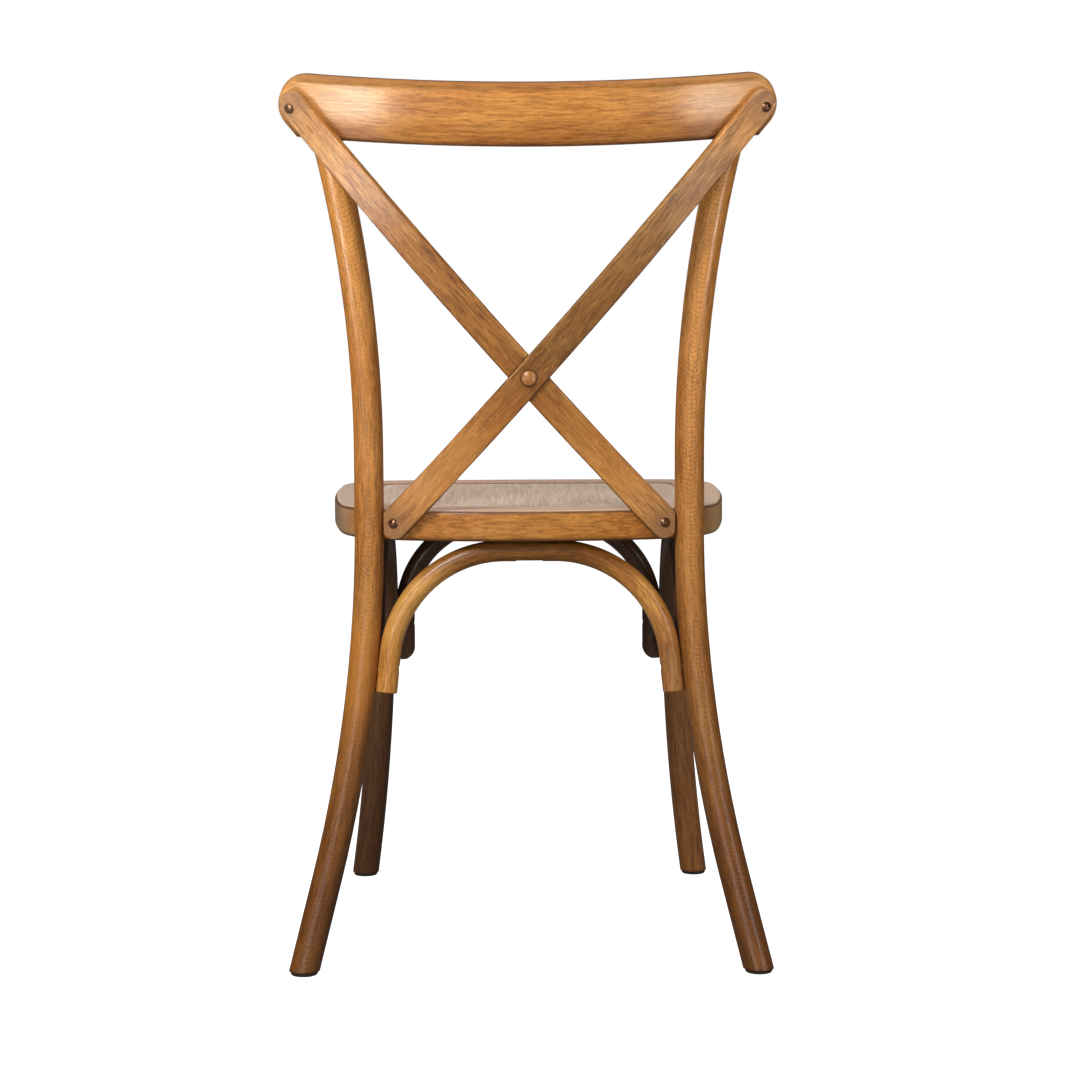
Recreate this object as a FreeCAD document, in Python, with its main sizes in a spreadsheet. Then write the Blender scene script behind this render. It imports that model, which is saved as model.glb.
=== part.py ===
import FreeCAD, Part
import math
import os

import Sketcher

# Cross back dining chair of bent wood, in millimetres.
# Z is up from the floor, the sitter faces -Y, and X = 0 is the plane of symmetry.
# The origin lies on the floor under the middle of the chair's outer box.

Vector = FreeCAD.Vector

SIZES = {
    "Sizes of the whole chair": {
        "post_set_back": (140.0, "back posts behind the middle of the chair"),
        "ring_height": (32.0, "height of the seat frame"),
        "seat_height": (458.0, "top of the seat frame above the floor"),
        "fit_gap": (0.2, "gap left where two pieces are glued or screwed together"),
    },
    "Back legs": {
        "leg_radius": (15.0, "radius of all four legs"),
        "post_inset": (50.0, "post centre inside the seat's widest point"),
        "back_bend_angle": (54.0, "direction of the back legs' bend, outward and to the rear"),
        "foot_straight_top": (90.0, "height where the straight foot ends"),
        "low_bend_top": (448.0, "height where the lower bend ends"),
        "low_bend_radius": (917.0, "radius of the lower bend"),
        "high_bend_start": (511.0, "height where the upper bend starts"),
        "high_bend_radius": (868.0, "radius of the upper bend"),
        "post_top": (829.8, "height of the post's centre under the crest rail"),
        "tenon_radius": (7.0, "radius of the tenon in the crest rail"),
        "tenon_length": (30.0, "length of the tenon in the crest rail"),
        "post_head_chamfer": (3.0, "eased edge at the top of a post"),
    },
    "Front legs": {
        "front_leg_side_inset": (44.5, "front leg centre inside the seat's widest point"),
        "front_leg_front_inset": (45.0, "front leg centre behind the seat's front edge"),
        "front_bend_angle": (22.0, "direction of the front legs' bend, outward and to the front"),
        "front_bend_top": (330.0, "height where the front leg's bend ends"),
        "front_bend_radius": (2180.0, "radius of the front leg's bend"),
        "front_tenon_radius": (8.0, "radius of the tenon in the seat frame"),
        "front_tenon_length": (18.0, "length of the tenon in the seat frame"),
    },
    "Crest rail": {
        "rail_half_length": (244.5, "end of the rail from the plane of symmetry"),
        "rail_width": (60.0, "height of the plank"),
        "rail_thickness": (25.0, "thickness of the plank"),
        "post_forward": (2.5, "post centre in front of the plank's middle"),
        "rail_radius": (593.0, "plan radius of the plank's middle"),
        "rail_lean": (16.5, "lean of the plank to the rear"),
        "rail_arris": (4.5, "rounding of the plank's edges"),
        "rail_upper_corner": (30.0, "rounding of the plank's upper corners"),
        "rail_lower_corner": (25.6, "rounding of the plank's lower corners"),
        "rail_end_slope": (42.0, "slope of the cut under the lower corners"),
    },
    "Crossed straps": {
        "strap_foot_width": (31.2, "width of a strap at the seat"),
        "strap_top_width": (28.8, "width of a strap at the crest rail"),
        "strap_thickness": (8.0, "thickness of a strap"),
        "strap_bow": (25.0, "bow of the straps to the rear"),
        "strap_step": (4.0, "outer strap proud of the inner one at the crossing"),
        "strap_arris": (1.4, "rounding of the straps' edges"),
        "strap_top_inset": (17.6, "strap's end centre from the end of the crest rail"),
        "strap_top_rise": (33.0, "strap's end centre above the underside of the crest rail"),
        "strap_foot_inset": (27.9, "strap's lower end centre inside the post's centre"),
        "strap_foot_rise": (18.2, "strap's lower end centre above the seat frame's underside"),
        "strap_top_screw_offset": (4.0, "upper screw from the strap's centre line"),
    },
    "Seat": {
        "seat_half_width": (212.5, "widest point from the plane of symmetry"),
        "seat_widest_y": (265.0, "widest point in front of the back posts"),
        "seat_front_reach": (392.0, "front edge in front of the back posts"),
        "seat_rear_reach": (28.0, "rear edge behind the back posts"),
        "seat_rear_radius": (468.0, "curve of the rear edge"),
        "seat_side_radius": (1339.0, "curve of the side edges"),
        "seat_front_radius": (3000.0, "curve of the front edge"),
        "rear_corner_radius": (100.0, "rear corners"),
        "front_corner_radius": (66.0, "front corners"),
        "rim_width": (48.0, "width of the seat frame seen from above"),
        "ledge_width": (12.0, "ledge that carries the panel"),
        "panel_thickness": (9.0, "thickness of the seat panel"),
        "panel_recess": (1.5, "panel surface below the frame's top"),
        "seat_arris": (5.0, "rounding of the frame's upper edge"),
        "seat_lower_arris": (7.0, "rounding of the frame's lower edge"),
        "rear_joint_y": (75.0, "rear joints in front of the back posts"),
        "front_joint_y": (315.0, "front joints in front of the back posts"),
        "dowel_radius": (4.0, "radius of a dowel"),
        "dowel_length": (36.0, "length of a dowel"),
        "dowel_inset": (15.0, "outer dowel from the frame's edge"),
        "dowel_pitch": (18.0, "spacing of the two dowels of a joint"),
    },
    "Bent hoops": {
        "hoop_radius": (11.0, "radius of the hoops' round bar"),
        "hoop_bend_radius": (117.0, "bend of the rear and side hoops"),
        "front_hoop_bend_radius": (105.0, "bend of the front hoop"),
        "hoop_end_height": (271.0, "lower ends of the rear and side hoops"),
        "front_hoop_end_height": (255.0, "lower ends of the front hoop"),
        "hoop_screw_height": (290.0, "where the hoops are screwed to the legs"),
        "hoop_screw_stagger": (6.0, "rear hoop's screws above, side hoops' screws below"),
        "side_hoop_inset": (53.0, "side hoops inside the seat's widest point"),
        "hoop_end_round": (1.5, "rounding of the hoops' ends"),
        "hoop_flat_depth": (1.2, "flat cut under a hoop for its screw"),
        "hoop_flat_radius": (14.0, "reach of the flat round the screw"),
        "front_hoop_end_curve": (14.0, "rounding of the front hoop's inner lower corners"),
    },
    "Fasteners": {
        "wood_screw_radius": (2.1, "radius of the screws in the hoops and straps"),
        "hoop_screw_length": (34.0, "screw from a hoop into a leg"),
        "hoop_screw_head": (4.0, "radius of its countersunk head"),
        "hoop_screw_sink": (0.8, "depth of its head below the hoop's surface"),
        "hoop_top_screw_length": (34.0, "screw from a hoop into the seat frame"),
        "washer_thickness": (1.2, "thickness of a post bolt's washer"),
        "strap_screw_length": (26.0, "screw through a strap"),
        "strap_screw_head": (5.1, "radius of its domed head"),
        "strap_screw_sink": (0.5, "depth of its seat in the strap"),
        "strap_screw_dome": (2.8, "height of its domed head"),
        "button_radius": (8.0, "radius of the button over the crossing"),
        "button_dome": (3.4, "height of the button's dome"),
        "button_edge": (1.2, "height of the button's edge under its dome"),
        "button_bolt_radius": (2.5, "radius of the bolt through the crossing"),
        "button_nut_radius": (6.0, "radius of the domed nut at the front"),
        "post_bolt_radius": (3.0, "radius of the bolt from the seat frame into a post"),
        "post_bolt_head": (5.5, "radius of its head"),
        "post_bolt_head_height": (6.0, "height of its head"),
        "post_bolt_washer": (6.5, "radius of its washer"),
        "post_bolt_drop": (19.5, "bolt axis below the top of the seat frame"),
        "post_bolt_pocket": (16.0, "depth of the pocket for its head"),
        "insert_radius": (4.8, "radius of the threaded insert in a post"),
        "insert_length": (13.0, "length of the threaded insert"),
    },
    "Feet": {
        "glide_radius": (13.4, "radius of a glide"),
        "glide_thickness": (3.0, "thickness of a glide"),
        "foot_arris": (1.2, "rounding of a foot's lower edge"),
        "nail_radius": (1.2, "radius of a glide's nail"),
        "nail_length": (16.0, "length of a glide's nail"),
        "nail_head_radius": (3.5, "radius of a nail's head"),
        "nail_head_height": (1.0, "height of a nail's head"),
    },
}

SHEET = "Sizes"
doc = FreeCAD.newDocument("CrossBackChair")
sheet = doc.addObject("Spreadsheet::Sheet", SHEET)
row = 0
for group, entries in SIZES.items():
    row += 1
    sheet.set(f"A{row}", group)
    for alias, (value, meaning) in entries.items():
        row += 1
        sheet.set(f"A{row}", alias)
        sheet.set(f"B{row}", str(value))
        sheet.set(f"C{row}", meaning)
        sheet.setAlias(f"B{row}", alias)
doc.recompute()


def size(alias):
    """A driving dimension, read from the sheet."""
    return float(sheet.get(alias))


def cell(text):
    """An expression on the sheet's cells: each @name becomes a reference."""
    return text.replace("@", SHEET + ".")


# Sketches and bodies


def new_body(label):
    body = doc.addObject("PartDesign::Body", label)
    body.Label = label
    return body


def origin_plane(body, role):
    for feature in body.Origin.OriginFeatures:
        if feature.Role == role:
            return feature
    raise ValueError(role)


def new_sketch(body, name, role="XY_Plane", offset=None):
    sketch = body.newObject("Sketcher::SketchObject", name)
    sketch.AttachmentSupport = [(origin_plane(body, role), "")]
    sketch.MapMode = "FlatFace"
    if offset is not None:
        sketch.AttachmentOffset = offset
    return sketch


def bind(sketch, constraint, expression):
    """Adds a dimension to a sketch and ties it to the sheet."""
    index = sketch.addConstraint(constraint)
    name = f"size_{index}"
    sketch.renameConstraint(index, name)
    sketch.setExpression(f"Constraints.{name}", cell(expression))


def weld(sketch, pieces, closed):
    """Ties the ends of neighbouring pieces of a sketch together."""
    pairs = list(zip(pieces, pieces[1:] + pieces[:1]))
    for one, other in pairs if closed else pairs[:-1]:
        best = min(
            ((a, b) for a in (1, 2) for b in (1, 2)),
            key=lambda ends: sketch.getPoint(one, ends[0]).distanceToPoint(
                sketch.getPoint(other, ends[1])
            ),
        )
        sketch.addConstraint(Sketcher.Constraint("Coincident", one, best[0], other, best[1]))


def circle_sketch(body, name, radius, offset=None, role="XY_Plane"):
    sketch = new_sketch(body, name, role, offset)
    sketch.addGeometry(Part.Circle(Vector(0, 0, 0), Vector(0, 0, 1), size_of(radius)), False)
    sketch.addConstraint(Sketcher.Constraint("Coincident", 0, 3, -1, 1))
    bind(sketch, Sketcher.Constraint("Radius", 0, size_of(radius)), radius)
    return sketch


def size_of(expression):
    """The value of an expression on the sheet's cells."""
    return float(sheet.evalExpression(cell(expression)))


def rectangle_sketch(body, name, width, height, offset=None, role="XY_Plane"):
    """A rectangle about the sketch's origin, its sides tied to the sheet."""
    sketch = new_sketch(body, name, role, offset)
    half_x = size_of(width) / 2
    half_y = size_of(height) / 2
    corners = [
        Vector(-half_x, -half_y, 0),
        Vector(half_x, -half_y, 0),
        Vector(half_x, half_y, 0),
        Vector(-half_x, half_y, 0),
    ]
    for here, there in zip(corners, corners[1:] + corners[:1]):
        sketch.addGeometry(Part.LineSegment(here, there), False)
    for side in range(4):
        sketch.addConstraint(Sketcher.Constraint("Coincident", side, 2, (side + 1) % 4, 1))
        sketch.addConstraint(Sketcher.Constraint("Horizontal" if side % 2 == 0 else "Vertical", side))
    sketch.addConstraint(Sketcher.Constraint("Symmetric", 0, 1, 1, 2, -1, 1))
    bind(sketch, Sketcher.Constraint("DistanceX", 0, 1, 0, 2, 2 * half_x), width)
    bind(sketch, Sketcher.Constraint("DistanceY", 1, 1, 1, 2, 2 * half_y), height)
    return sketch


def pad(body, name, sketch, length, midplane=False, reverse=False):
    feature = body.newObject("PartDesign::Pad", name)
    feature.Profile = sketch
    feature.Midplane = midplane
    feature.Reversed = reverse
    feature.setExpression("Length", cell(length))
    return feature


def pocket(body, name, sketch, length=None, reverse=False):
    feature = body.newObject("PartDesign::Pocket", name)
    feature.Profile = sketch
    feature.Reversed = reverse
    if length is None:
        feature.Type = "ThroughAll"
    else:
        feature.setExpression("Length", cell(length))
    return feature


# Round bars bent in one plane


def heading_vector(heading):
    """The direction of a run in the bend plane, its heading measured from straight up."""
    return Vector(math.sin(heading), math.cos(heading), 0)


def bent_bar(body, start, heading, steps, radius):
    """A round bar along straight runs and arcs in the body's XZ plane.

    A step is ("run", length) or ("bend", radius, turn), a turn to the right positive."""
    sketch = new_sketch(body, body.Name + "_path", "XZ_Plane")
    here = Vector(start[0], start[1], 0)
    first_heading = heading
    pieces = []
    for step in steps:
        if step[0] == "run":
            there = here + heading_vector(heading) * step[1]
            pieces.append(sketch.addGeometry(Part.LineSegment(here, there), False))
        else:
            bend, turn = step[1], step[2]
            bend_size = size_of(bend)
            side = math.copysign(1.0, turn)
            to_centre = Vector(math.cos(heading), -math.sin(heading), 0) * side * bend_size
            centre = here + to_centre
            points = []
            for share in (0.5, 1.0):
                angle = heading + turn * share
                points.append(
                    centre - Vector(math.cos(angle), -math.sin(angle), 0) * side * bend_size
                )
            there = points[1]
            pieces.append(sketch.addGeometry(Part.Arc(here, points[0], there), False))
            heading += turn
            bind(sketch, Sketcher.Constraint("Radius", pieces[-1], bend_size), bend)
        here = there
    weld(sketch, pieces, closed=False)
    quarter = FreeCAD.Rotation(Vector(0, 0, 1), 90)
    turn_to_heading = FreeCAD.Rotation(Vector(0, 1, 0), math.degrees(first_heading)).multiply(quarter)
    offset = FreeCAD.Placement(Vector(start[0], 0, start[1]), turn_to_heading)
    profile = circle_sketch(body, body.Name + "_section", radius, offset)
    pipe = body.newObject("PartDesign::AdditivePipe", body.Name + "_bar")
    pipe.Profile = profile
    pipe.Spine = sketch
    return pipe


# Holes, cuts and copies


def rotation_to(direction):
    return FreeCAD.Rotation(Vector(0, 0, 1), direction)


def cylinder(name, radius, length, base, direction):
    """A cylinder from a base point along a direction, its sizes tied to the sheet."""
    tool = doc.addObject("Part::Cylinder", name)
    tool.setExpression("Radius", cell(radius))
    tool.setExpression("Height", cell(length))
    tool.Placement = FreeCAD.Placement(base, rotation_to(direction))
    return tool


def cone(name, radius_low, radius_high, length, base, direction):
    tool = doc.addObject("Part::Cone", name)
    tool.setExpression("Radius1", cell(radius_low))
    tool.setExpression("Radius2", cell(radius_high))
    tool.setExpression("Height", cell(length))
    tool.Placement = FreeCAD.Placement(base, rotation_to(direction))
    return tool


def box(name, x_length, y_length, z_length, placement):
    """A block centred on its placement in X and Y and standing on it in Z."""
    tool = doc.addObject("Part::Box", name)
    tool.Length = x_length
    tool.Width = y_length
    tool.Height = z_length
    shift = FreeCAD.Placement(Vector(-x_length / 2, -y_length / 2, 0), FreeCAD.Rotation())
    tool.Placement = placement.multiply(shift)
    return tool


def fuse(name, shapes):
    if len(shapes) == 1:
        return shapes[0]
    feature = doc.addObject("Part::MultiFuse", name)
    feature.Shapes = shapes
    return feature


def cut(label, base, tools):
    if not tools:
        return base
    feature = doc.addObject("Part::Cut", label)
    feature.Label = label
    feature.Base = base
    feature.Tool = fuse(label + "_tools", tools)
    return feature


def common(label, shapes):
    feature = doc.addObject("Part::MultiCommon", label)
    feature.Label = label
    feature.Shapes = shapes
    return feature


def round_edges(label, base, radius, wanted):
    """A rounding on the edges of a shape that a test picks."""
    doc.recompute()
    feature = doc.addObject("Part::Fillet", label)
    feature.Label = label
    feature.Base = base
    value = size_of(radius)
    edges = enumerate(base.Shape.Edges, 1)
    feature.Edges = [(number, value, value) for number, edge in edges if wanted(edge)]
    return feature


def middle(edge):
    return edge.valueAt((edge.FirstParameter + edge.LastParameter) / 2)


def group(label, shapes):
    """Like fasteners as one node of separate solids."""
    feature = doc.addObject("Part::Feature", label)
    feature.Label = label
    feature.Shape = Part.makeCompound(shapes)
    return feature


def turned(profile, base, direction):
    """A solid turned from a half profile of radius and height pairs, set on a base point."""
    points = [Vector(radius, 0, height) for radius, height in profile]
    face = Part.Face(Part.makePolygon(points + points[:1]))
    solid = face.revolve(Vector(0, 0, 0), Vector(0, 0, 1), 360)
    solid.Placement = FreeCAD.Placement(base, rotation_to(direction))
    return solid


def domed(radius, height, base, direction):
    """A low dome: the cap of a ball that meets its seat at the given radius."""
    ball_radius = (radius * radius + height * height) / (2 * height)
    ball = Part.makeSphere(ball_radius, Vector(0, 0, height - ball_radius))
    disc = Part.makeCylinder(radius, height)
    cap = ball.common(disc)
    cap.Placement = FreeCAD.Placement(base, rotation_to(direction))
    return cap


# Where the pieces meet

POST_Y = size("post_set_back")
SEAT_TOP = size("seat_height")
SEAT_BOTTOM = SEAT_TOP - size("ring_height")
GAP = size("fit_gap")
LEG = size("leg_radius")
POST_X = size("seat_half_width") - size("post_inset")
FRONT_X = size("seat_half_width") - size("front_leg_side_inset")
FRONT_Y = POST_Y - size("seat_front_reach") + size("front_leg_front_inset")
SIDE_HOOP_X = size("seat_half_width") - size("side_hoop_inset")
HOOP = size("hoop_radius")
PLAY = GAP / 2
TINY = 0.01
UP = Vector(0, 0, 1)
REAR = Vector(0, 1, 0)
SIDES = {"left": 1, "right": -1}


def planar(angle_degrees, side, forward=False):
    """The level direction of a leg's bend on one side of the chair."""
    angle = math.radians(angle_degrees)
    along_y = -math.sin(angle) if forward else math.sin(angle)
    return Vector(side * math.cos(angle), along_y, 0)


def back_leg_offset(height):
    """How far the back leg's centre line lies out along its bend at a height."""
    low_top = size("low_bend_top")
    low_radius = size("low_bend_radius")
    straight = size("foot_straight_top")
    high_start = size("high_bend_start")
    high_radius = size("high_bend_radius")
    if height > high_start:
        return high_radius - math.sqrt(high_radius**2 - (height - high_start) ** 2)
    if height > low_top:
        return 0.0
    if height > straight:
        return low_radius - math.sqrt(low_radius**2 - (low_top - height) ** 2)
    lean = math.asin((low_top - straight) / low_radius)
    return low_radius * (1 - math.cos(lean)) + math.tan(lean) * (straight - height)


def front_leg_offset(height):
    top = size("front_bend_top")
    radius = size("front_bend_radius")
    if height > top:
        return 0.0
    return radius - math.sqrt(radius**2 - (top - height) ** 2)


def back_leg_point(side, height):
    foot = Vector(side * POST_X, POST_Y, height)
    return foot + planar(size("back_bend_angle"), side) * back_leg_offset(height)


def front_leg_point(side, height):
    foot = Vector(side * FRONT_X, FRONT_Y, height)
    return foot + planar(size("front_bend_angle"), side, forward=True) * front_leg_offset(height)


# The crest rail's frame: up is the plank's width, back is across its thickness

LEAN = math.radians(size("rail_lean"))
RAIL_UP = Vector(0, math.sin(LEAN), math.cos(LEAN))
RAIL_BACK = Vector(0, math.cos(LEAN), -math.sin(LEAN))
RAIL_RADIUS = size("rail_radius")


def rail_depth(x, radius):
    """How far a curve of the plank lies behind the plank's middle at a distance x."""
    return math.sqrt(radius**2 - x**2) - RAIL_RADIUS


POST_HEAD = back_leg_point(1, size("post_top"))
RAIL_OFFSET = size("post_forward") - rail_depth(POST_HEAD.x, RAIL_RADIUS)
RAIL_ORIGIN = Vector(0, POST_HEAD.y, POST_HEAD.z) + RAIL_BACK * RAIL_OFFSET
RAIL_FRAME = FreeCAD.Placement(RAIL_ORIGIN, FreeCAD.Rotation(Vector(1, 0, 0), -size("rail_lean")))


def rail_rear_face(x, height):
    """A point of the plank's rear face, and the direction it faces."""
    radius = RAIL_RADIUS + size("rail_thickness") / 2
    depth = rail_depth(x, radius)
    point = RAIL_ORIGIN + Vector(x, 0, 0) + RAIL_UP * height + RAIL_BACK * depth
    normal = Vector(x, 0, 0) + RAIL_BACK * (depth + RAIL_RADIUS)
    return point, normal.normalize()


# The seat's outline: eight arcs that meet without a corner


class Outline:
    """The seat frame's plan, drawn in by an inset, from its rear, side and front arcs."""

    def __init__(self, inset):
        self.rear_radius = size("seat_rear_radius")
        self.side_radius = size("seat_side_radius")
        self.front_radius = size("seat_front_radius")
        rear_y = POST_Y + size("seat_rear_reach")
        front_y = POST_Y - size("seat_front_reach")
        side_x = size("seat_half_width")
        self.rear_centre = Vector(0, rear_y - self.rear_radius, 0)
        self.front_centre = Vector(0, front_y + self.front_radius, 0)
        self.side_centre = Vector(side_x - self.side_radius, POST_Y - size("seat_widest_y"), 0)
        self.rear_corner = size("rear_corner_radius")
        self.front_corner = size("front_corner_radius")
        self.rear_corner_centre = self.corner(
            self.rear_centre, self.rear_radius, self.rear_corner, 1
        )
        self.front_corner_centre = self.corner(
            self.front_centre, self.front_radius, self.front_corner, -1
        )
        self.inset = inset

    def corner(self, end_centre, end_radius, corner_radius, towards):
        """The centre of a corner that touches the side arc and an end arc from inside."""
        one = end_radius - corner_radius
        two = self.side_radius - corner_radius
        apart = self.side_centre - end_centre
        length = apart.Length
        along = (one**2 - two**2 + length**2) / (2 * length)
        across = math.sqrt(one**2 - along**2)
        foot = end_centre + apart * (along / length)
        normal = Vector(-apart.y, apart.x, 0) * (across / length)
        picks = (foot + normal, foot - normal)
        return max(picks, key=lambda point: (point.x > 0, towards * point.y))

    def arcs(self):
        """The arcs in order round the outline, as centre, radius and two end points."""
        touch_rear = self.touch(self.rear_centre, self.rear_corner_centre, self.rear_corner)
        rear_side = self.touch(self.side_centre, self.rear_corner_centre, self.rear_corner)
        front_side = self.touch(self.side_centre, self.front_corner_centre, self.front_corner)
        touch_front = self.touch(self.front_centre, self.front_corner_centre, self.front_corner)
        half = [
            (self.rear_corner_centre, self.rear_corner, touch_rear, rear_side),
            (self.side_centre, self.side_radius, rear_side, front_side),
            (self.front_corner_centre, self.front_corner, front_side, touch_front),
        ]
        front = (self.front_centre, self.front_radius, touch_front, mirrored(touch_front))
        rear = (self.rear_centre, self.rear_radius, mirrored(touch_rear), touch_rear)
        other = [
            (mirrored(centre), radius, mirrored(end), mirrored(start))
            for centre, radius, start, end in reversed(half)
        ]
        return half + [front] + other + [rear]

    def touch(self, centre, corner_centre, corner_radius):
        outward = (corner_centre - centre).normalize()
        return corner_centre + outward * (corner_radius - self.inset)

    def rear_point(self, x):
        """The rear edge at a distance x, and the direction it faces."""
        corner_from = self.touch(self.rear_centre, self.rear_corner_centre, self.rear_corner).x
        on_corner = abs(x) > corner_from
        centre = self.rear_corner_centre if on_corner else self.rear_centre
        radius = self.rear_corner if on_corner else self.rear_radius
        if x < 0:
            centre = mirrored(centre)
        y = centre.y + math.sqrt((radius - self.inset) ** 2 - (x - centre.x) ** 2)
        normal = Vector(x, y, 0) - centre
        return Vector(x, y, 0), normal.normalize()

    def side_x(self, y):
        """The side edge at a distance y, on the side arc."""
        reach = self.side_radius - self.inset
        return self.side_centre.x + math.sqrt(reach**2 - (y - self.side_centre.y) ** 2)


def mirrored(point):
    return Vector(-point.x, point.y, point.z)


def outline_sketch(body, name, inset, inset_text, level):
    """The outline as a sketch at a level, its radii tied to the sheet."""
    offset = FreeCAD.Placement(Vector(0, 0, level), FreeCAD.Rotation())
    sketch = new_sketch(body, name, "XY_Plane", offset)
    names = ["rear_corner", "seat_side", "front_corner", "seat_front"]
    names += ["front_corner", "seat_side", "rear_corner", "seat_rear"]
    pieces = []
    for centre, radius, start, end in Outline(inset).arcs():
        across = (start + end) * 0.5 - centre
        if across.Length < TINY:
            across = Vector(0, 1, 0)
        crown = centre + across.normalize() * (radius - inset)
        pieces.append(sketch.addGeometry(Part.Arc(start, crown, end), False))
    weld(sketch, pieces, closed=True)
    for piece, radius_name in list(zip(pieces, names))[:3]:
        radius = size(radius_name + "_radius") - inset
        text = f"@{radius_name}_radius - ({inset_text})"
        bind(sketch, Sketcher.Constraint("Radius", piece, radius), text)
    return sketch


OUTLINE = Outline(0.0)
STRAP_FOOT_HEIGHT = SEAT_BOTTOM + size("strap_foot_rise")

nodes = []


def keep(feature):
    """Marks a feature as one of the chair's pieces."""
    nodes.append(feature)
    return feature


# Threaded fasteners and their directions

POST_BOLT_Z = SEAT_TOP - size("post_bolt_drop")


def post_bolt_line(side):
    """The bolt of a post: its direction, where it meets the post, and the frame's inner face."""
    centre = Vector(side * OUTLINE.rear_corner_centre.x, OUTLINE.rear_corner_centre.y, POST_BOLT_Z)
    post = Vector(side * POST_X, POST_Y, POST_BOLT_Z)
    outward = (post - centre).normalize()
    contact = post - outward * LEG
    frame_depth = size("rim_width") + size("ledge_width")
    inner = centre + outward * (size("rear_corner_radius") - frame_depth)
    return outward, contact, inner


def hoop_leg_joint(hoop_point, leg_point):
    """The level direction of a screw from a hoop into a leg, and its head's place."""
    direction = Vector(leg_point.x - hoop_point.x, leg_point.y - hoop_point.y, 0).normalize()
    return direction, hoop_point - direction * (HOOP - size("hoop_screw_sink"))


# Hoops: where their ends touch the legs

HOOP_TOP = SEAT_BOTTOM - HOOP - GAP
SCREW_Z = size("hoop_screw_height")
REAR_SCREW_Z = SCREW_Z + size("hoop_screw_stagger")
SIDE_SCREW_Z = SCREW_Z - size("hoop_screw_stagger")
TOUCH = LEG + HOOP + GAP
BLOCK = 4 * LEG


def rear_hoop_line(height):
    """The rear hoop's end, level with the back leg and touching it on its inner side."""
    leg = back_leg_point(1, height)
    return Vector(leg.x - TOUCH / math.cos(foot_angle("x", height)), leg.y, height)


def foot_angle(axis, height):
    """The slant of the back leg seen along X or Y at a height."""
    step = 1.0
    low = back_leg_point(1, height - step)
    high = back_leg_point(1, height + step)
    run = low.x - high.x if axis == "x" else low.y - high.y
    return math.atan2(run, 2 * step)


def side_hoop_rear(height):
    """The side hoop's rear end, touching the front of the back leg."""
    leg = back_leg_point(1, height)
    across = leg.x - SIDE_HOOP_X
    reach = math.sqrt((TOUCH / math.cos(foot_angle("y", height))) ** 2 - across**2)
    return Vector(SIDE_HOOP_X, leg.y - reach, height)


def side_hoop_front(height):
    """The side hoop's front end, touching the rear of the front leg."""
    leg = front_leg_point(1, height)
    across = leg.x - SIDE_HOOP_X
    return Vector(SIDE_HOOP_X, leg.y + math.sqrt(TOUCH**2 - across**2), height)


def hoop_body(label, half_width, slant, bend, end_height):
    """A hoop in its own XZ plane: two legs, two bends and a flat top."""
    bend_size = size(bend[1:])
    spring_z = HOOP_TOP - bend_size * (1 - math.sin(slant))
    leg = (spring_z - end_height) / math.cos(slant)
    flat = 2 * (half_width - bend_size * math.cos(slant) - math.tan(slant) * (spring_z - SCREW_Z))
    start_x = -(half_width + math.tan(slant) * (SCREW_Z - end_height))
    turn = math.pi / 2 - slant
    body = new_body(label)
    steps = [
        ("run", leg),
        ("bend", bend, turn),
        ("run", flat),
        ("bend", bend, turn),
        ("run", leg),
    ]
    bent_bar(body, (start_x, end_height), slant, steps, "@hoop_radius")
    return body


# Back legs


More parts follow.
